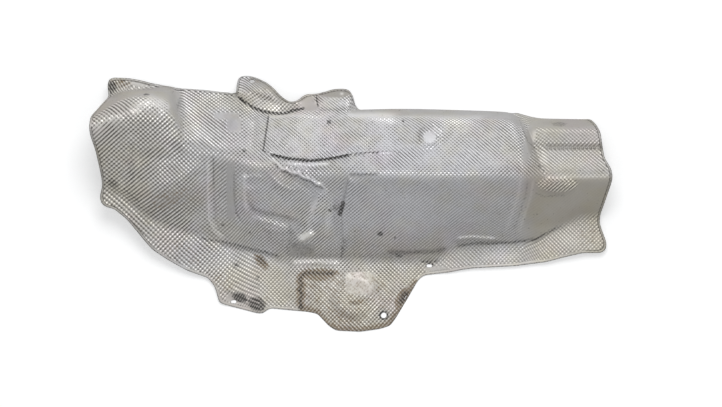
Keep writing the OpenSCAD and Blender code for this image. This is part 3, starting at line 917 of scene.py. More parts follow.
# %% Brown dirt
# Spots are given as middle, radii, strength, angle, softness of the edge and squareness; lines as
# points, width, strength and, where it isn't a tenth, the part of their ends over which they fade
GRIME_SPOTS = [
    # Tab
    ((-42, -90), (27, 11), 1.6, 0, 0.8),
    ((-40, -85), (28, 6), 0.9, 0, 0.7),
    ((-46, -114), (24, 30), 0.5, 0, 0.8),
    ((65, -118), (19, 10), 2.0, 58, 0.6),
    ((-10, -140), (50, 26), 0.66, 0, 0.8),
    ((5, -124), (19, 6), 0.9, 0, 0.8),
    ((0, -118), (70, 44), 0.45, 0, 0.4),
    # Front flange to the left of it
    ((-112, -73), (18, 8), 1.2, -45, 0.7),
    ((-110, -122), (20, 14), 0.5, 0, 0.8),
    ((-205, -62), (70, 18), 0.3, -25, 0.9),
    ((-162, -96), (34, 28), 0.4, 0, 0.8),
    # Left terrace, right flap, bolted lug and the left end's rim
    ((-226, 5), (50, 20), 0.5, 20, 0.8),
    ((293, -42), (26, 20), 0.28, 0, 0.6),
    ((-118, 150), (24, 12), 0.35, -20, 0.7),
    ((-288, 150), (22, 10), 0.62, -8, 0.7),
]
GRIME_LINES = [
    (TAB_CREASE, 5.2, 1.6),
    (TAB_EDGE, 5.0, 1.2, 0.02),
    ([(-42, -137), (-28, -151), (-19, -157), (11, -158), (34, -156)], 4.0, 0.9),
    ([(-60, -86), (-40, -88), (-12, -86)], 4.0, 0.9),
]


def strongest(x, y, spots, lines):
    """The strongest of some spots and lines at each place, or 0."""
    value = np.zeros(len(x))
    for spot in spots:
        value = np.maximum(value, bump(x, y, *spot))
    for line in lines:
        value = np.maximum(value, line_mask(x, y, *line))
    return value


grime = strongest(place[:, 0], place[:, 1], GRIME_SPOTS, GRIME_LINES)
print("brown dirt on", (100 * (grime > 0.5).mean()).round(1), "percent of the points")

# %% [markdown]
# ### Soot and painted shade
#
# The dark lines in the folds, along the foot of the wall and around the holes are painted shade; a few
# spots among them are specks of real soot. An ambient occlusion node would darken every corner alike, but
# on the shield only some of them are dark, so each dark line is drawn.

# %% Spots of soot and painted shade
SOOT_AND_SHADE_SPOTS = [
    # Front wall and its foot, painted shade
    ((-60, -58), (19, 11), 0.4, 0, 0.5, 4),
    ((-75, -38), (10, 18), 0.45, 12, 0.8),
    ((-62, -30), (16, 14), 0.32, -20, 0.8),
    ((-9, -54), (9, 20), 0.42, 0, 0.8),
    ((-72, -52), (10, 8), 0.55, 0, 0.8),
    ((-18, -5), (13, 9), 0.5, 0, 0.8),
    ((54, -61), (14, 8), 0.55, 0, 0.8),
    ((60, -66), (8, 3), 0.8, 0, 0.6),
    # Small dark specks
    ((-160.5, -27), (3, 2.4), 1.1, 0, 0.8),
    ((-127, -36.5), (3, 2.4), 1.0, 0, 0.8),
    ((-26.5, -9), (2.4, 2.2), 1.9, 0, 0.6),
    ((36.5, -38), (6, 5), 1.1, 0, 0.8),
    ((55, -43), (2, 2), 1.6, 0, 0.8),
    ((-27.5, -122), (2, 2), 0.8, 0, 0.6),
    # Flange and tab, with painted shade in the rims of the bolt hole and of the slot
    ((41, -140), (7.5, 7.5), 2.2, 0, 0.6),
    ((98, -76.5), (10, 5), 0.8, 0, 0.6),
    ((-139, -118), (15, 7.5), 1.3, -20, 0.7),
    ((-118, -126), (17, 12), 0.85, -25, 0.5),
    ((-117, -93), (5, 4), 0.7, 0, 0.8),
    ((-144, -77), (8, 6), 0.75, 0, 0.9),
    ((-112, -71), (18, 8), 0.62, -40, 0.9),
    ((-63, -130), (8, 6), 0.8, 0, 0.9),
    ((4, -125), (15, 7), 0.45, -12, 0.9),
    ((66, -118), (17, 8), 0.75, 58, 0.7),
    # Behind the ridge, and both ends
    ((-133, 66), (5, 4), 0.9, 0, 0.7),
    ((65, 103), (2.4, 2), 1.6, 0, 0.7),
    ((-27.5, 102), (3.2, 2.8), 3.0, 0, 0.6),
    ((-257, 136.5), (3.4, 2.2), 2.5, 0, 0.6),
    ((-298, 25), (14, 9), 0.62, -30, 0.8),
    ((-299, 146), (10, 12), 0.95, 0, 0.7),
    ((261, 99.5), (13, 4), 0.5, 0, 0.5),
]
print("spots of soot:", len(SOOT_AND_SHADE_SPOTS))

# %% Lines of painted shade and soot in folds and corners
SOOT_AND_SHADE_LINES = [
    # Behind the ridge: lug valley, tuck, pleat, tear, cracks and the foot of the boss
    (LUG_VALLEY, 1.3, 2.0, 0.03),
    ([(-101, 61.5), (-80, 56.5), (-51, 53.5), (-26, 56), (0, 61)], 1.6, 1.8, 0.04),
    ([(0, 60), (16, 62.5), (36, 64)], 1.3, 0.55),
    (PLEAT, 1.6, 0.9, 0.04),
    (TEAR, 0.9, 1.2, 0.02),
    (moved(CRACK, 0, -3.5), 1.4, 0.7),
    ([(88, 74), (85, 82), (87, 92), (94, 97)], 3.0, 0.5),
    # Foot of the front wall
    ([(-285, 12), (-264, -5), (-239, -20), (-207, -32), (-185, -41)], 4.0, 0.35),
    ([(-195, -40), (-182, -45), (-165, -47), (-139, -53), (-107, -61), (-84, -68)], 2.0, 0.75),
    ([(-170, -50), (-139, -56), (-107, -63), (-84, -68)], 4.0, 0.5),
    ([(-84, -64), (-30, -66), (60, -66)], 5.0, 0.36, 0.04),
    ([(40, -62), (86, -61), (105, -60), (125, -55)], 4.0, 0.6),
    ([(122, -55), (154, -50), (181, -50), (200, -49), (232, -45), (246, -37), (268, -25)], 2.8, 0.7),
    # Creases and panel edges of the front wall
    ([(-172, 62), (-172, 40), (-172, 18)], 1.6, 0.6),
    (PANEL_LEFT, 1.5, 0.3),
    (PANEL_RIGHT, 1.5, 0.5),
    ([(-128, 4), (-120, -8), (-98, -13), (-62, -22)], 5.0, 0.4),
    ([(-74, -36), (-78, -50), (-80, -66)], 5.0, 0.45),
    ([(-4, 36), (12, 36), (36, 37)], 3.0, 0.6),
    ([(-2, 36), (-7, 14), (-12, -6), (-13, -18)], 1.8, 0.5),
    ([(-9, 3), (-12, -7), (-15, -16)], 2.4, 1.8),
    ([(-11, -52), (-11, -60), (-12, -69)], 2.0, 0.7),
    (WALL_EDGE, 1.5, 0.4),
    # Left end
    ([(-260, 138), (-256, 135), (-251, 137.5)], 1.5, 1.8, 0.05),
    ([(-285, 20), (-276, 10), (-262, 2)], 2.6, 0.5),
    ([(-274, 84), (-275, 54), (-272, 22)], 7.0, 0.35),
    ([(-219, 112), (-216, 122), (-213, 134)], 4.0, 0.45),
    # Right end
    ([(243, 69), (280, 69), (321, 70)], 2.0, 0.75, 0.05),
    ([(228, 14), (240, 9), (270, 10)], 2.0, 0.4),
    ([(210, 108), (215, 92), (221, 78), (232, 66)], 1.6, 0.5),
    ([(233, 50), (237, 44), (243, 38)], 2.5, 0.5),
    # Flange and tab
    ([(86, -73), (110, -73)], 1.6, 0.9),
    (TAB_CREASE, 2.8, 0.75),
    (TAB_EDGE, 2.6, 0.4, 0.02),
    ([(-60, -85), (-40, -86), (-16, -86)], 2.4, 0.5),
]

# Soot and painted shade, in one mask
soot_and_shade = strongest(place[:, 0], place[:, 1], SOOT_AND_SHADE_SPOTS, SOOT_AND_SHADE_LINES)
# On an upright wall a mark given by x and y would become a long streak, so the soot and painted shade end
# there
soot_and_shade *= ramp(0.15, 0.4, normal[:, 2])
print("soot on", (100 * (soot_and_shade > 0.5).mean()).round(1), "percent of the points")

# %% [markdown]
# ### Rubbed places and painted highlights
#
# The crests of folds, the ridge and the pad are painted bright: partly rubbed metal, partly painted
# highlight on crests and sides that face the light. Edge wear is often made from the mesh's own curvature,
# but on this sheet each of the dots would count as an edge. So these places are drawn as well.

# %% Spots and lines of rubbed metal and painted highlight
RUBBED_AND_HIGHLIGHT_SPOTS = [
    # Tab, pad and flange
    ((10, -108), (66, 50), 0.5, 0, 0.5),
    ((10, -103), (23, 13), 1.3, 0, 0.4, 3),
    ((188, -66), (34, 9), 0.35, 0, 0.7),
    ((288, -46), (38, 16), 0.25, 0, 0.6),
    # Front wall
    ((-46, -12), (40, 12), 0.8, 60, 0.7),
    ((-97, -27), (28, 9), 0.35, -20, 0.7),
    ((-28, -17), (7, 34), 0.6, -8, 0.8),
    ((50, -10), (75, 40), 0.2, 0, 0.7),
    # Ridge, boss and lugs, with a painted highlight on the boss's lower right side
    ((86, 56), (150, 30), 0.85, 0, 0.5),
    ((107, 75), (7, 7), 0.9, 0, 0.5),
    (BOSS, (9, 9), 0.5, 0, 0.3),
    ((-22, 126), (26, 8), 1.0, 0, 0.5),
    ((-11.5, 137.5), (3.2, 2.4), 0.9, 0, 0.8),
    ((-118, 142), (20, 5), 0.5, -30, 0.6),
]
RUBBED_AND_HIGHLIGHT_LINES = [
    # Crests of the folds and panel edges, painted highlight where they catch the light
    (CRACK, 1.4, 1.5),
    (CRACK_ABOVE, 1.4, 1.2),
    (ABOVE_FOLD, 1.8, 1.0),
    ([(-24, 49), (20, 46), (64, 43)], 4.0, 0.9),
    (DIAGONAL, 2.4, 0.8),
    (HOLLOW_RIDGE, 3.4, 0.45),
    (moved(PANEL_LEFT, -7), 2.6, 0.75),
    (PANEL_RIDGE, 3.4, 0.6),
    (moved(WALL_EDGE, 7), 1.6, 0.25),
    (moved(WALL_EDGE, -9), 1.6, 0.3),
    ([(-67, -45), (-57, -42), (-47, -36)], 4.0, 2.0),
    ([(132, -43), (150, -41.5), (182, -44)], 1.4, 0.9),
    ([(238, 33), (270, 33), (325, 34)], 2.0, 0.6),
    # Left end, root of the bolted lug, and the flange's crease
    (ARCH, 7.0, 1.2),
    (LEFT_SHOULDER, 7.0, 1.0),
    ([(-141, 139), (-124, 129), (-108, 122), (-88, 119)], 7.0, 1.4, 0.03),
    ([(-76, -75), (-50, -74), (-12, -75)], 3.6, 1.3),
]
# Places that are dull after all, as (middle, radii, how much)
LESS_RUBBED_AND_HIGHLIGHT = [(BOSS, (14, 14), 0.5), ((188, 102), (36, 17), 0.8), ((-146, 98), (12, 12), 0.9),
              ((-156, 110), (19, 6), 0.9)]
print("rubbed spots:", len(RUBBED_AND_HIGHLIGHT_SPOTS), "and lines:", len(RUBBED_AND_HIGHLIGHT_LINES))

# %% How bright the sheet is rubbed
def rubbed_and_highlight_at(x, y):
    """How bright the sheet is rubbed and painted with highlight: the spots and lines, the patch, the ridge
    and the flange.
    """
    rubbed_and_highlight = strongest(x, y, RUBBED_AND_HIGHLIGHT_SPOTS, RUBBED_AND_HIGHLIGHT_LINES)
    rubbed_and_highlight = np.maximum(rubbed_and_highlight, 1.3 * soft_box(x, y, (-107, -100), (70, 40), (56, 62), (118, 108)))
    rubbed_and_highlight = np.maximum(rubbed_and_highlight, 0.6 * soft_box(x, y, (-150, -110), (205, 185), (42, 52), (114, 106)))
    rubbed_and_highlight = np.maximum(rubbed_and_highlight, 0.15 * ramp(-70, -78, y))
    for middle, radii, less in LESS_RUBBED_AND_HIGHLIGHT:
        rubbed_and_highlight *= 1 - bump(x, y, middle, radii, less, edge=0.5)
    return rubbed_and_highlight


# Rubbed metal and painted highlight, in one mask
rubbed_and_highlight = rubbed_and_highlight_at(place[:, 0], place[:, 1])
print("rubbed bright:", (100 * (rubbed_and_highlight > 0.5).mean()).round(1), "percent of the points")

# %% [markdown]
# ### Drawn metal, painted shade, heat and age
#
# Where the press drew the sheet out it is duller and darker, and the same mask paints shade onto steep
# slopes towards the back, along the foot of the front wall, beside the pad, around the boss and in the step
# to the right end. Heat left a faint blue, and age a yellow. Most of this is broad and soft, so large spots
# and ramps along the shield do for it, with a few lines along steps, feet and edges.

# %% Spots and lines that are darker: drawn metal and painted shade
DRAWN_AND_SHADE_SPOTS = [
    # Left end, left terrace, the panel in the front wall and the flat beside the pleat
    ((-214, 4), (56, 27), 0.8, 18, 0.5),
    ((-247, 84), (27, 32), 0.4, 0, 0.5),
    ((-314, 55), (16, 42), 0.6, 0, 0.7),
    ((-232, 42), (42, 18), 0.4, 0, 0.7),
    ((-156, 8), (17, 52), 0.5, 0, 0.3, 4),
    ((-148, 101), (15, 14), 0.5, 0, 0.3, 4),
    ((-100, -44), (62, 20), 0.5, -16, 0.8),
    # Second lug, pad and right end, with painted shade on the pad's slope
    ((-20, 139), (34, 9), 1.2, 0, 0.5),
    ((6, -86), (18, 5), 0.7, 0, 0.8),
    ((276, 101), (54, 8), 0.7, 0, 0.5),
    ((236, 94), (18, 18), 0.5, 0, 0.7),
]
DRAWN_AND_SHADE_LINES = [
    # Step to the right end and foot of the front wall, as painted shade, and the bolted lug
    ([(222, 98), (230, 66), (239, 36)], 8.0, 0.75),
    ([(-100, -56), (-40, -61), (40, -62), (120, -56)], 14.0, 1.0, 0.04),
    ([(-200, -34), (-165, -42), (-139, -48), (-107, -56)], 9.0, 0.6),
    (LUG_EDGE, 5.0, 0.9, 0.04),
    ([(-137, 148), (-120, 139), (-100, 128)], 3.0, 0.8),
    # Beside the pleat, on the patch, and painted shade at the foot of the boss
    ([(-121, 110), (-121, 90), (-124, 68)], 5.0, 1.0, 0.05),
    ([(-62, 96), (-52, 88), (-36, 93), (-28, 84)], 3.0, 0.5),
    ([(-30, 96), (0, 91), (22, 97)], 3.0, 0.4),
    ([(87, 73), (83, 82), (86, 92), (94, 99)], 4.0, 1.2),
]
print("drawn spots:", len(DRAWN_AND_SHADE_SPOTS), "and lines:", len(DRAWN_AND_SHADE_LINES))

# %% Drawn metal and painted shade, and the tints of heat and age
def drawn_at(x, y, normal):
    """How much darker the sheet is: drawn metal in the spots and lines, painted shade on steep slopes to the
    back, and the right end.
    """
    slopes = 0.4 * ramp(0.6, 0.35, normal[:, 2]) * ramp(0.1, 0.5, normal[:, 1])
    right_end = ramp(212, 222, x) * (0.36 + 0.22 * ramp(38, 30, y)) * ramp(-34, -22, y)
    return np.maximum(strongest(x, y, DRAWN_AND_SHADE_SPOTS, DRAWN_AND_SHADE_LINES), np.maximum(slopes, right_end))


def cool_at(x, y):
    """Faint blue of heat, over the middle of the shield."""
    spots = [((-120, 5), (60, 45), 0.6, -20, 0.9), ((50, 20), (160, 100), 0.7, 0, 0.5),
             ((-150, 98), (12, 10), 1, 0, 0.5)]
    return strongest(x, y, spots, [])


def warm_at(x, y):
    """Yellow of age, over both ends, the flange with its tab, and the bolted lug."""
    ends = np.maximum(ramp(-180, -290, x) * 0.6, ramp(200, 240, x) * (0.4 + 0.5 * ramp(38, 30, y)))
    flange = ramp(-50, -100, y) * 0.8 * ramp(-230, -160, x)
    return np.maximum(np.maximum(ends, flange), bump(x, y, (-90, 130), (70, 24), 0.5, edge=0.5))


# Drawn metal and painted shade, in one mask
drawn = drawn_at(place[:, 0], place[:, 1], normal)
cool, warm = (mask(place[:, 0], place[:, 1]) for mask in (cool_at, warm_at))
print("drawn out:", (100 * (drawn > 0.5).mean()).round(1), "percent of the points")

# %% Both sides, the rim, and the slant of the dots
INNER_DIRT_AND_SHADE = 0.35
LEAN_LIMIT = 0.5
LEAN_CHANGE = 0.3
# How much lower the dots stand under soot and painted shade
SOOT_AND_SHADE_FLATTEN = 0.35

# Little of the dirt came through to the inner side; the rim rows' painted shade makes the cut edge dark
came_through = np.where(kind == UNDER, INNER_DIRT_AND_SHADE, 1)
grime = grime * came_through
soot_and_shade = np.maximum(soot_and_shade * came_through, dark)
# Under soot and painted shade the dots stand lower, so the dark lines show
press = press * (1 - SOOT_AND_SHADE_FLATTEN * np.clip(soot_and_shade, 0, 1))
# The masks of soot and of drawn metal also carry painted shade, and the one of rubbing painted highlight
masks = {"grime": grime, "soot_and_shade": soot_and_shade, "rubbed_and_highlight": rubbed_and_highlight, "cool": cool, "warm": warm, "drawn": drawn}
# Where the sheet was drawn down over the die, the dots run together into slanting ridges: to one side
# on slopes towards the front, to the other on slopes towards the back
lean = np.clip(-normal[:, 1], -LEAN_LIMIT, LEAN_LIMIT)
lean += LEAN_CHANGE * np.sin(place[:, 0] / 14 + 1.6 * np.sin(place[:, 1] / 19))
print("dots stand at", press.mean().round(2), "of their height on average")

# %% [markdown]
# ## The mesh and its numbers
#
# The smooth sheet becomes a mesh, and each mask is stored on its points as an attribute. That is how a
# formula written in Python reaches both the Geometry Nodes tree and the material.

# %% The smooth sheet as a mesh
mesh = bpy.data.meshes.new("shield sheet")
mesh.from_pydata((sheet * MM).tolist(), [], faces_list)
mesh.update()


def keep_on_points(name, values):
    """Stores one number for each point of the mesh."""
    layer = mesh.attributes.new(name, "FLOAT", "POINT")
    layer.data.foreach_set("value", np.ascontiguousarray(values, dtype=np.float32))


pattern = mesh.attributes.new("pattern", "FLOAT_VECTOR", "POINT")
pq = pattern_of(uv[:, 0], uv[:, 1])
pattern.data.foreach_set("vector", np.column_stack([pq, np.zeros(len(pq))]).astype(np.float32).ravel())
keep_on_points("press", press)
keep_on_points("lean", lean)
keep_on_points("under", (kind == UNDER).astype(float))
for name, values in masks.items():
    keep_on_points(name, values)
shield = bpy.data.objects.new("shield_sheet", mesh)
bpy.context.scene.collection.objects.link(shield)
print("sheet:", len(mesh.vertices), "points,", len(mesh.polygons), "faces")

# %% [markdown]
# ## The metal
#
# Old aluminium is a dull metal: it is a little darker and browner where dirt has baked on, and a
# little brighter where it is rubbed. Painted highlights on crests and on the crowns of the dots, and painted
# shade in folds, hollows and on some slopes, go into the same colour. The material starts from one grey,
# mixes in slow patches and fine grain, then the masks. Metallic is only 0.4, and less under dirt and
# painted shade, because weathered aluminium scatters light almost as paint does. The inner side has its
# dots as a bump only, since they are never seen in outline.

# %% Colours
CLEAN = (0.625, 0.62, 0.625, 1)
DULL = (0.53, 0.525, 0.525, 1)
DUST = (0.50, 0.475, 0.44, 1)
# Drawn metal and painted shade
DRAWN_AND_SHADE = (0.44, 0.42, 0.395, 1)
# Crowns of the dots: worn bright, and a painted highlight
CROWN_WEAR_AND_HIGHLIGHT = (0.98, 0.97, 0.965, 1)
# Hollows between the dots: dirt and painted shade
HOLLOW_DIRT_AND_SHADE = (0.22, 0.21, 0.2, 1)
BROWN = (0.24, 0.17, 0.1, 1)
# Specks, soot and painted shade
DARK = (0.03, 0.027, 0.024, 1)
# Rubbed metal and painted highlight
RUBBED_AND_HIGHLIGHT = (0.98, 0.97, 0.975, 1)
# Tints that the colour is multiplied by
WARM = (1.0, 0.96, 0.865, 1)
COOL = (0.95, 0.96, 1.0, 1)
OLIVE = (1.0, 0.99, 0.93, 1)
LILAC = (1.0, 0.965, 0.985, 1)
# How much of a colour shows where it is strongest
DULL_MOST, DUST_MOST, DRAWN_AND_SHADE_MOST, RUBBED_AND_HIGHLIGHT_MOST = 0.6, 0.35, 0.8, 0.8
BROWN_MOST, SPECK_MOST, SOOT_AND_SHADE_MOST = 0.85, 0.6, 0.93
METALLIC = 0.4
METALLIC_LEFT = 0.3
print("clean metal is", CLEAN[:3], "and metallic by", METALLIC)

# %% The material, and nodes that read from the mesh
metal = bpy.data.materials.new("embossed aluminium")
metal.use_nodes = True
nodes, links = metal.node_tree.nodes, metal.node_tree.links
nodes.clear()
output = nodes.new("ShaderNodeOutputMaterial")
shader = nodes.new("ShaderNodeBsdfPrincipled")
links.new(shader.outputs["BSDF"], output.inputs["Surface"])
where = nodes.new("ShaderNodeTexCoord")


def mask_node(name):
    """One of the numbers kept on the points."""
    node = nodes.new("ShaderNodeAttribute")
    node.attribute_name = name
    return node.outputs["Fac"]


def noise(scale, detail=4.0, rough=0.55):
    """Grain of the given number of spots to a metre."""
    node = nodes.new("ShaderNodeTexNoise")
    node.inputs["Scale"].default_value = scale
    node.inputs["Detail"].default_value = detail
    node.inputs["Roughness"].default_value = rough
    links.new(where.outputs["Object"], node.inputs["Vector"])
    return node.outputs["Fac"]


print("nodes at the start:", [node.name for node in nodes])

# %% Nodes that calculate
def mapped(value, a, b, c=0.0, d=1.0):
    """The range from a to b, stretched to the range from c to d."""
    node = nodes.new("ShaderNodeMapRange")
    for name, number in zip(("From Min", "From Max", "To Min", "To Max"), (a, b, c, d)):
        node.inputs[name].default_value = number
    links.new(value, node.inputs["Value"])
    return node.outputs["Result"]


def calc(kind, a, b):
    """A sum, product or other operation on two numbers or sockets."""
    node = nodes.new("ShaderNodeMath")
    node.operation = kind
    for socket, value in zip(node.inputs, (a, b)):
        if isinstance(value, (int, float)):
            socket.default_value = value
        else:
            links.new(value, socket)
    return node.outputs[0]


def times(a, b):
    """a times b."""
    return calc("MULTIPLY", a, b)


def minus(a, b):
    """a less b."""
    return calc("SUBTRACT", a, b)


def at_most(value, limit):
    """The value, but never more than the limit."""
    return calc("MINIMUM", value, limit)


print("nodes still:", len(nodes), "since these helpers only add some when they are called")

# %% Nodes that mix colours
def mixed(share, a, b, blend="MIX"):
    """Colour a with a share of colour b in it."""
    node = nodes.new("ShaderNodeMix")
    node.data_type = "RGBA"
    node.blend_type = blend
    for socket, value in zip((node.inputs[6], node.inputs[7]), (a, b)):
        if isinstance(value, tuple):
            socket.default_value = value
        else:
            links.new(value, socket)
    links.new(share, node.inputs[0])
    return node.outputs[2]


def tinted(share, a, tint):
    """Colour a multiplied by a tint."""
    return mixed(share, a, tint, "MULTIPLY")


def ragged(mask, grain, share):
    """A stain that ends where the grain is coarser than it is strong, so its edge is ragged."""
    return mapped(minus(times(mask, 1.5), times(grain, share)), 0, 1)


print("nodes so far:", len(nodes))

# %% Shape of the dots, for the material
flat = nodes.new("ShaderNodeAttribute")
flat.attribute_name = "pattern"
split = nodes.new("ShaderNodeSeparateXYZ")
links.new(flat.outputs["Vector"], split.inputs[0])
angles = [times(split.outputs[k], 2 * math.pi / DOT) for k in (0, 1)]
upright, slanting = (times(calc(wave, angles[0], 0), calc(wave, angles[1], 0))
                     for wave in ("COSINE", "SINE"))
dot_shape = calc("ADD", upright, times(slanting, mask_node("lean")))
pressed_here = at_most(mask_node("press"), 1.0)
crowns = times(mapped(dot_shape, 0, 0.7), pressed_here)
in_hollows = mapped(dot_shape, 0.5, -0.4, 0.35, 1.2)
print("nodes with the dots:", len(nodes))

# %% Grain, dirt, painted glints and painted shade
patches = mapped(noise(9), 0.35, 0.65)
streaks = mapped(noise(45, 5.0), 0.42, 0.7)
olive_patches = mapped(noise(28), 0.45, 0.62)
lilac_patches = mapped(noise(21), 0.5, 0.66)
hollow_unevenness = mapped(noise(75, 3.0, 0.6), 0.38, 0.62, 0.6, 1.2)
spots = mapped(noise(160, 6.0, 0.7), 0.38, 0.6)
specks = mapped(noise(330, 2.0, 0.5), 0.7, 0.74)
grit = mapped(noise(420, 5.0, 0.75), 0.36, 0.62)
# Painted glints that brighten some crowns of the dots
painted_glints = mapped(noise(650, 2.0, 0.5), 0.35, 0.65, 0.45, 1.3)
# Rubbed metal and painted highlight, in one mask
rubbed_and_highlight_mask = mask_node("rubbed_and_highlight")
brown_dirt = times(ragged(mask_node("grime"), spots, 0.8), in_hollows)
# Soot and painted shade, stronger in the hollows
black_dirt_and_shade = times(ragged(mask_node("soot_and_shade"), grit, 0.7), calc("POWER", in_hollows, 0.7))
print("nodes with the grain:", len(nodes))

# %% Colour, from the clean metal up to the soot and painted shade
colour = mixed(times(patches, DULL_MOST), CLEAN, DULL)
colour = mixed(times(streaks, DUST_MOST), colour, DUST)
# Drawn metal and painted shade darken the colour
colour = mixed(times(mask_node("drawn"), DRAWN_AND_SHADE_MOST), colour, DRAWN_AND_SHADE)
# Rubbed metal and painted highlight lighten the colour
colour = mixed(times(at_most(rubbed_and_highlight_mask, 1.0), RUBBED_AND_HIGHLIGHT_MOST), colour, RUBBED_AND_HIGHLIGHT)
# The crowns of the dots are lighter: partly worn bright, partly a painted highlight with painted glints
colour = mixed(times(crowns, painted_glints), colour, CROWN_WEAR_AND_HIGHLIGHT)
# The hollows between the dots hold dirt and painted shade, less where the sheet is rubbed and painted bright
hollows = times(mapped(dot_shape, 0, -0.7), minus(1.0, times(at_most(rubbed_and_highlight_mask, 1.0), 0.25)))
colour = mixed(times(times(hollows, pressed_here), hollow_unevenness), colour, HOLLOW_DIRT_AND_SHADE)
colour = tinted(mask_node("cool"), colour, COOL)
colour = tinted(mask_node("warm"), colour, WARM)
colour = tinted(olive_patches, colour, OLIVE)
colour = tinted(lilac_patches, colour, LILAC)
colour = mixed(times(at_most(brown_dirt, 1.0), BROWN_MOST), colour, BROWN)
colour = mixed(times(specks, SPECK_MOST), colour, DARK)
# Soot and painted shade, last and darkest
colour = mixed(at_most(black_dirt_and_shade, SOOT_AND_SHADE_MOST), colour, DARK)
links.new(colour, shader.inputs["Base Color"])
print("nodes with the colour:", len(nodes))

# %% Roughness, metal and bump
# Dirt makes the metal rougher; the rubbed and highlighted places and the crowns of the dots make it smoother
rough = calc("ADD", mapped(patches, 0, 1, 0.5, 0.6), times(brown_dirt, 0.2))
rough = minus(rough, times(rubbed_and_highlight_mask, 0.1))
rough = minus(rough, times(crowns, 0.14))
links.new(rough, shader.inputs["Roughness"])
dirt_and_shade = calc("MAXIMUM", brown_dirt, black_dirt_and_shade)
links.new(mapped(dirt_and_shade, 0, 1, METALLIC, METALLIC * METALLIC_LEFT), shader.inputs["Metallic"])

# Dots of the inner side, and fine scratches everywhere, as a bump
dots = times(dot_shape, times(mask_node("under"), -0.5))
grain = times(noise(900, 3.0, 0.6), 0.05)
bump_node = nodes.new("ShaderNodeBump")
bump_node.inputs["Distance"].default_value = MM
bump_node.inputs["Strength"].default_value = 1.0
links.new(calc("ADD", dots, grain), bump_node.inputs["Height"])
links.new(bump_node.outputs["Normal"], shader.inputs["Normal"])
print("material:", len(nodes), "nodes")

# %% [markdown]
# ## Pressing the dots
#
# The dots follow a rule, so a Geometry Nodes tree makes them: two cosines multiplied give rows of dots
# with shifted neighbours, and each point moves along its normal by that much. The tree's inputs are the
# height and spacing of the dots, how uneven they are, and a seed. Afterwards the result is turned into a
# plain mesh.

# %% The tree and its inputs
tree = bpy.data.node_groups.new("pressed dots", "GeometryNodeTree")
new, join = tree.nodes.new, tree.links.new
# The names under which a modifier knows the inputs
names = {}
for name, sort in (("Geometry", "Geometry"), ("Height", "Float"), ("Spacing", "Float"),
                   ("Unevenness", "Float"), ("Seed", "Int"), ("Material", "Material")):
    socket = tree.interface.new_socket(name, in_out="INPUT", socket_type="NodeSocket" + sort)
    names[name] = socket.identifier
tree.interface.new_socket("Geometry", in_out="OUTPUT", socket_type="NodeSocketGeometry")
into, out = new("NodeGroupInput"), new("NodeGroupOutput")
print("inputs of the tree:", names)

# %% Helpers that add nodes to the tree
def math_node(kind, a, b=None):
    """An operation on one or two numbers or sockets."""
    node = new("ShaderNodeMath")
    node.operation = kind
    for socket, value in zip(node.inputs, (a, b)):
        if isinstance(value, (int, float)):
            socket.default_value = value
        elif value is not None:
            join(value, socket)
    return node.outputs[0]


def stored(name, sort):
    """A number or direction kept on the points."""
    node = new("GeometryNodeInputNamedAttribute")
    node.data_type = sort
    node.inputs["Name"].default_value = name
    return node.outputs["Attribute"]


print("nodes in the tree:", len(tree.nodes))

# %% Shape of the dots, in the tree
axes = new("ShaderNodeSeparateXYZ")
join(stored("pattern", "FLOAT_VECTOR"), axes.inputs[0])
turn = math_node("DIVIDE", 2 * math.pi, into.outputs["Spacing"])
angles = [math_node("MULTIPLY", axes.outputs[k], turn) for k in (0, 1)]
upright, slanting = (math_node("MULTIPLY", math_node(wave, angles[0]), math_node(wave, angles[1]))
                     for wave in ("COSINE", "SINE"))
dot = math_node("ADD", upright, math_node("MULTIPLY", slanting, stored("lean", "FLOAT")))
print("nodes with the shape of the dots:", len(tree.nodes))

# %% Their height, which isn't quite even
# Swells of unevenness to a millimetre of the pattern
CHANCE_SCALE = 0.11

chance = new("ShaderNodeTexNoise")
chance.noise_dimensions = "4D"
chance.inputs["Scale"].default_value = CHANCE_SCALE
join(stored("pattern", "FLOAT_VECTOR"), chance.inputs["Vector"])
join(into.outputs["Seed"], chance.inputs["W"])
from_middle = math_node("SUBTRACT", chance.outputs["Fac"], 0.5)
swing = math_node("MULTIPLY", from_middle, into.outputs["Unevenness"])
tall = math_node("MULTIPLY", into.outputs["Height"], math_node("ADD", swing, 1.0))
lift = math_node("MULTIPLY", math_node("MULTIPLY", dot, stored("press", "FLOAT")), tall)
print("nodes with the height:", len(tree.nodes))

# %% Moving the points, and the end of the tree
# Where the dots stand lower than this part of their height, the sheet is shaded smooth
SMOOTH_BELOW = 0.05

push = new("ShaderNodeVectorMath")
push.operation = "SCALE"
join(new("GeometryNodeInputNormal").outputs["Normal"], push.inputs[0])
join(lift, push.inputs["Scale"])
move = new("GeometryNodeSetPosition")
join(into.outputs["Geometry"], move.inputs["Geometry"])
join(push.outputs["Vector"], move.inputs["Offset"])
# The sides of a dot are flat, all else is smooth
soften = new("GeometryNodeSetShadeSmooth")
join(move.outputs["Geometry"], soften.inputs["Geometry"])
join(math_node("LESS_THAN", stored("press", "FLOAT"), SMOOTH_BELOW), soften.inputs["Shade Smooth"])
real = new("GeometryNodeRealizeInstances")
join(soften.outputs["Geometry"], real.inputs["Geometry"])
coat = new("GeometryNodeSetMaterial")
join(real.outputs["Geometry"], coat.inputs["Geometry"])
join(into.outputs["Material"], coat.inputs["Material"])
join(coat.outputs["Geometry"], out.inputs["Geometry"])
print("tree of the dots:", len(tree.nodes), "nodes")

# %% Pressing them, and keeping the result
DOT_HEIGHT = 0.7 * MM
UNEVENNESS = 0.6
SEED = 7

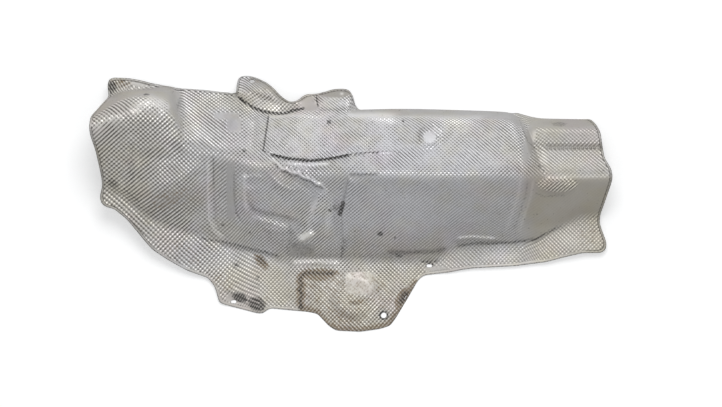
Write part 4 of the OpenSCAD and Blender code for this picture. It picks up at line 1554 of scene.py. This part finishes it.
modifier = shield.modifiers.new("dots", "NODES")
modifier.node_group = tree
modifier[names["Height"]] = DOT_HEIGHT
modifier[names["Spacing"]] = DOT
modifier[names["Unevenness"]] = UNEVENNESS
modifier[names["Seed"]] = SEED
modifier[names["Material"]] = metal

ready = bpy.context.evaluated_depsgraph_get()
pressed_mesh = bpy.data.meshes.new_from_object(shield.evaluated_get(ready), preserve_all_data_layers=True,
                                               depsgraph=ready)
shield.modifiers.remove(modifier)
shield.data = pressed_mesh
# Nothing stands out of the solid's box or sinks into the floor
places = np.empty(len(pressed_mesh.vertices) * 3, np.float32)
pressed_mesh.vertices.foreach_get("co", places)
places = np.clip(places.reshape(-1, 3), np.array(cad_low), np.array(cad_high))
pressed_mesh.vertices.foreach_set("co", places.astype(np.float32).ravel())
pressed_mesh.update()
pressed_mesh.materials.clear()
pressed_mesh.materials.append(metal)
triangles = sum(len(p.vertices) - 2 for p in pressed_mesh.polygons)
print("with dots:", len(pressed_mesh.vertices), "points,", triangles, "triangles")

# %% The piece stands for the solid
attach(shield, "root")
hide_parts("heat_shield")
print(shield.name, "is handed over as the sheet")

# %% [markdown]
# ## Floor, light and camera
#
# The shield lies on a plain white floor, which glows a little where the camera sees it: it looks as white
# as the photograph's background without lighting the shield. One large soft light stands behind the
# shield, halfway up, as the shading of its walls shows, and a dim even sky fills the shadows. The camera
# looks straight down from far away with a very long lens, so that high places don't lean outwards.

# %% Floor
FLOOR_HALF = 4.0
FLOOR_COLOUR = (0.8, 0.8, 0.8, 1)
FLOOR_GLOW = 0.45

floor_mesh = bpy.data.meshes.new("floor")
floor_mesh.from_pydata([(-FLOOR_HALF, -FLOOR_HALF, 0), (FLOOR_HALF, -FLOOR_HALF, 0),
                        (FLOOR_HALF, FLOOR_HALF, 0), (-FLOOR_HALF, FLOOR_HALF, 0)], [], [(0, 1, 2, 3)])
floor = bpy.data.objects.new("floor", floor_mesh)
bpy.context.scene.collection.objects.link(floor)
paper = bpy.data.materials.new("white paper")
paper.use_nodes = True
paper_nodes, paper_links = paper.node_tree.nodes, paper.node_tree.links
paper_nodes.clear()
paper_out = paper_nodes.new("ShaderNodeOutputMaterial")
matt = paper_nodes.new("ShaderNodeBsdfDiffuse")
matt.inputs["Color"].default_value = FLOOR_COLOUR
glow = paper_nodes.new("ShaderNodeEmission")
glow.inputs["Strength"].default_value = FLOOR_GLOW
seen_directly = paper_nodes.new("ShaderNodeLightPath")
clear = paper_nodes.new("ShaderNodeEmission")
clear.inputs["Strength"].default_value = 0.0
choose = paper_nodes.new("ShaderNodeMixShader")
both = paper_nodes.new("ShaderNodeAddShader")
paper_links.new(seen_directly.outputs["Is Camera Ray"], choose.inputs[0])
paper_links.new(clear.outputs[0], choose.inputs[1])
paper_links.new(glow.outputs[0], choose.inputs[2])
paper_links.new(matt.outputs[0], both.inputs[0])
paper_links.new(choose.outputs[0], both.inputs[1])
paper_links.new(both.outputs[0], paper_out.inputs["Surface"])
floor_mesh.materials.append(paper)
print("floor:", 2 * FLOOR_HALF, "m wide")

# %% Sky
SKY = 0.47
SKY_COLOUR = (0.97, 0.985, 1.0, 1)

world = bpy.data.worlds.new("studio")
bpy.context.scene.world = world
world.use_nodes = True
world_nodes, world_links = world.node_tree.nodes, world.node_tree.links
world_nodes.clear()
world_out = world_nodes.new("ShaderNodeOutputWorld")
sky, white = world_nodes.new("ShaderNodeBackground"), world_nodes.new("ShaderNodeBackground")
sky.inputs["Color"].default_value = SKY_COLOUR
sky.inputs["Strength"].default_value = SKY
white.inputs["Strength"].default_value = 1.0
white.inputs["Color"].default_value = (1, 1, 1, 1)
ray = world_nodes.new("ShaderNodeLightPath")
pick = world_nodes.new("ShaderNodeMixShader")
world_links.new(ray.outputs["Is Camera Ray"], pick.inputs[0])
world_links.new(sky.outputs[0], pick.inputs[1])
world_links.new(white.outputs[0], pick.inputs[2])
world_links.new(pick.outputs[0], world_out.inputs["Surface"])
print("sky lights the shield by", SKY, "and looks white to the camera")

# %% Lamp
LAMP_RIGHT = 0.1
LAMP_DISTANCE = 3.0
LAMP_RISE = math.radians(52)
LAMP_SIZE = 1.6
LAMP_POWER = 39

lamp_data = bpy.data.lights.new("softbox", "AREA")
lamp_data.shape = "SQUARE"
lamp_data.size = LAMP_SIZE
lamp_data.energy = LAMP_POWER
lamp = bpy.data.objects.new("softbox", lamp_data)
lamp.location = (LAMP_RIGHT, LAMP_DISTANCE * math.cos(LAMP_RISE), LAMP_DISTANCE * math.sin(LAMP_RISE))
lamp.rotation_euler = (-(math.pi / 2 - LAMP_RISE), 0, 0)
bpy.context.scene.collection.objects.link(lamp)
print("lamp:", LAMP_POWER, "watts,", round(lamp.location[2], 2), "m above the floor")

# %% Camera
PICTURE_WIDTH = 0.9025
MIDDLE = (0.0125, 0.0, 0.035)
CAMERA_HEIGHT = 20.0
SENSOR = 36
FARTHEST = 100

camera_data = bpy.data.cameras.new("camera")
camera_data.sensor_width = SENSOR
camera_data.lens = SENSOR * CAMERA_HEIGHT / PICTURE_WIDTH
camera_data.clip_end = FARTHEST
camera = bpy.data.objects.new("camera", camera_data)
camera.location = (MIDDLE[0], MIDDLE[1], MIDDLE[2] + CAMERA_HEIGHT)
bpy.context.scene.collection.objects.link(camera)
bpy.context.scene.camera = camera
scene = bpy.context.scene
scene.view_settings.view_transform = "Standard"
print("camera: lens", round(camera_data.lens), "mm")
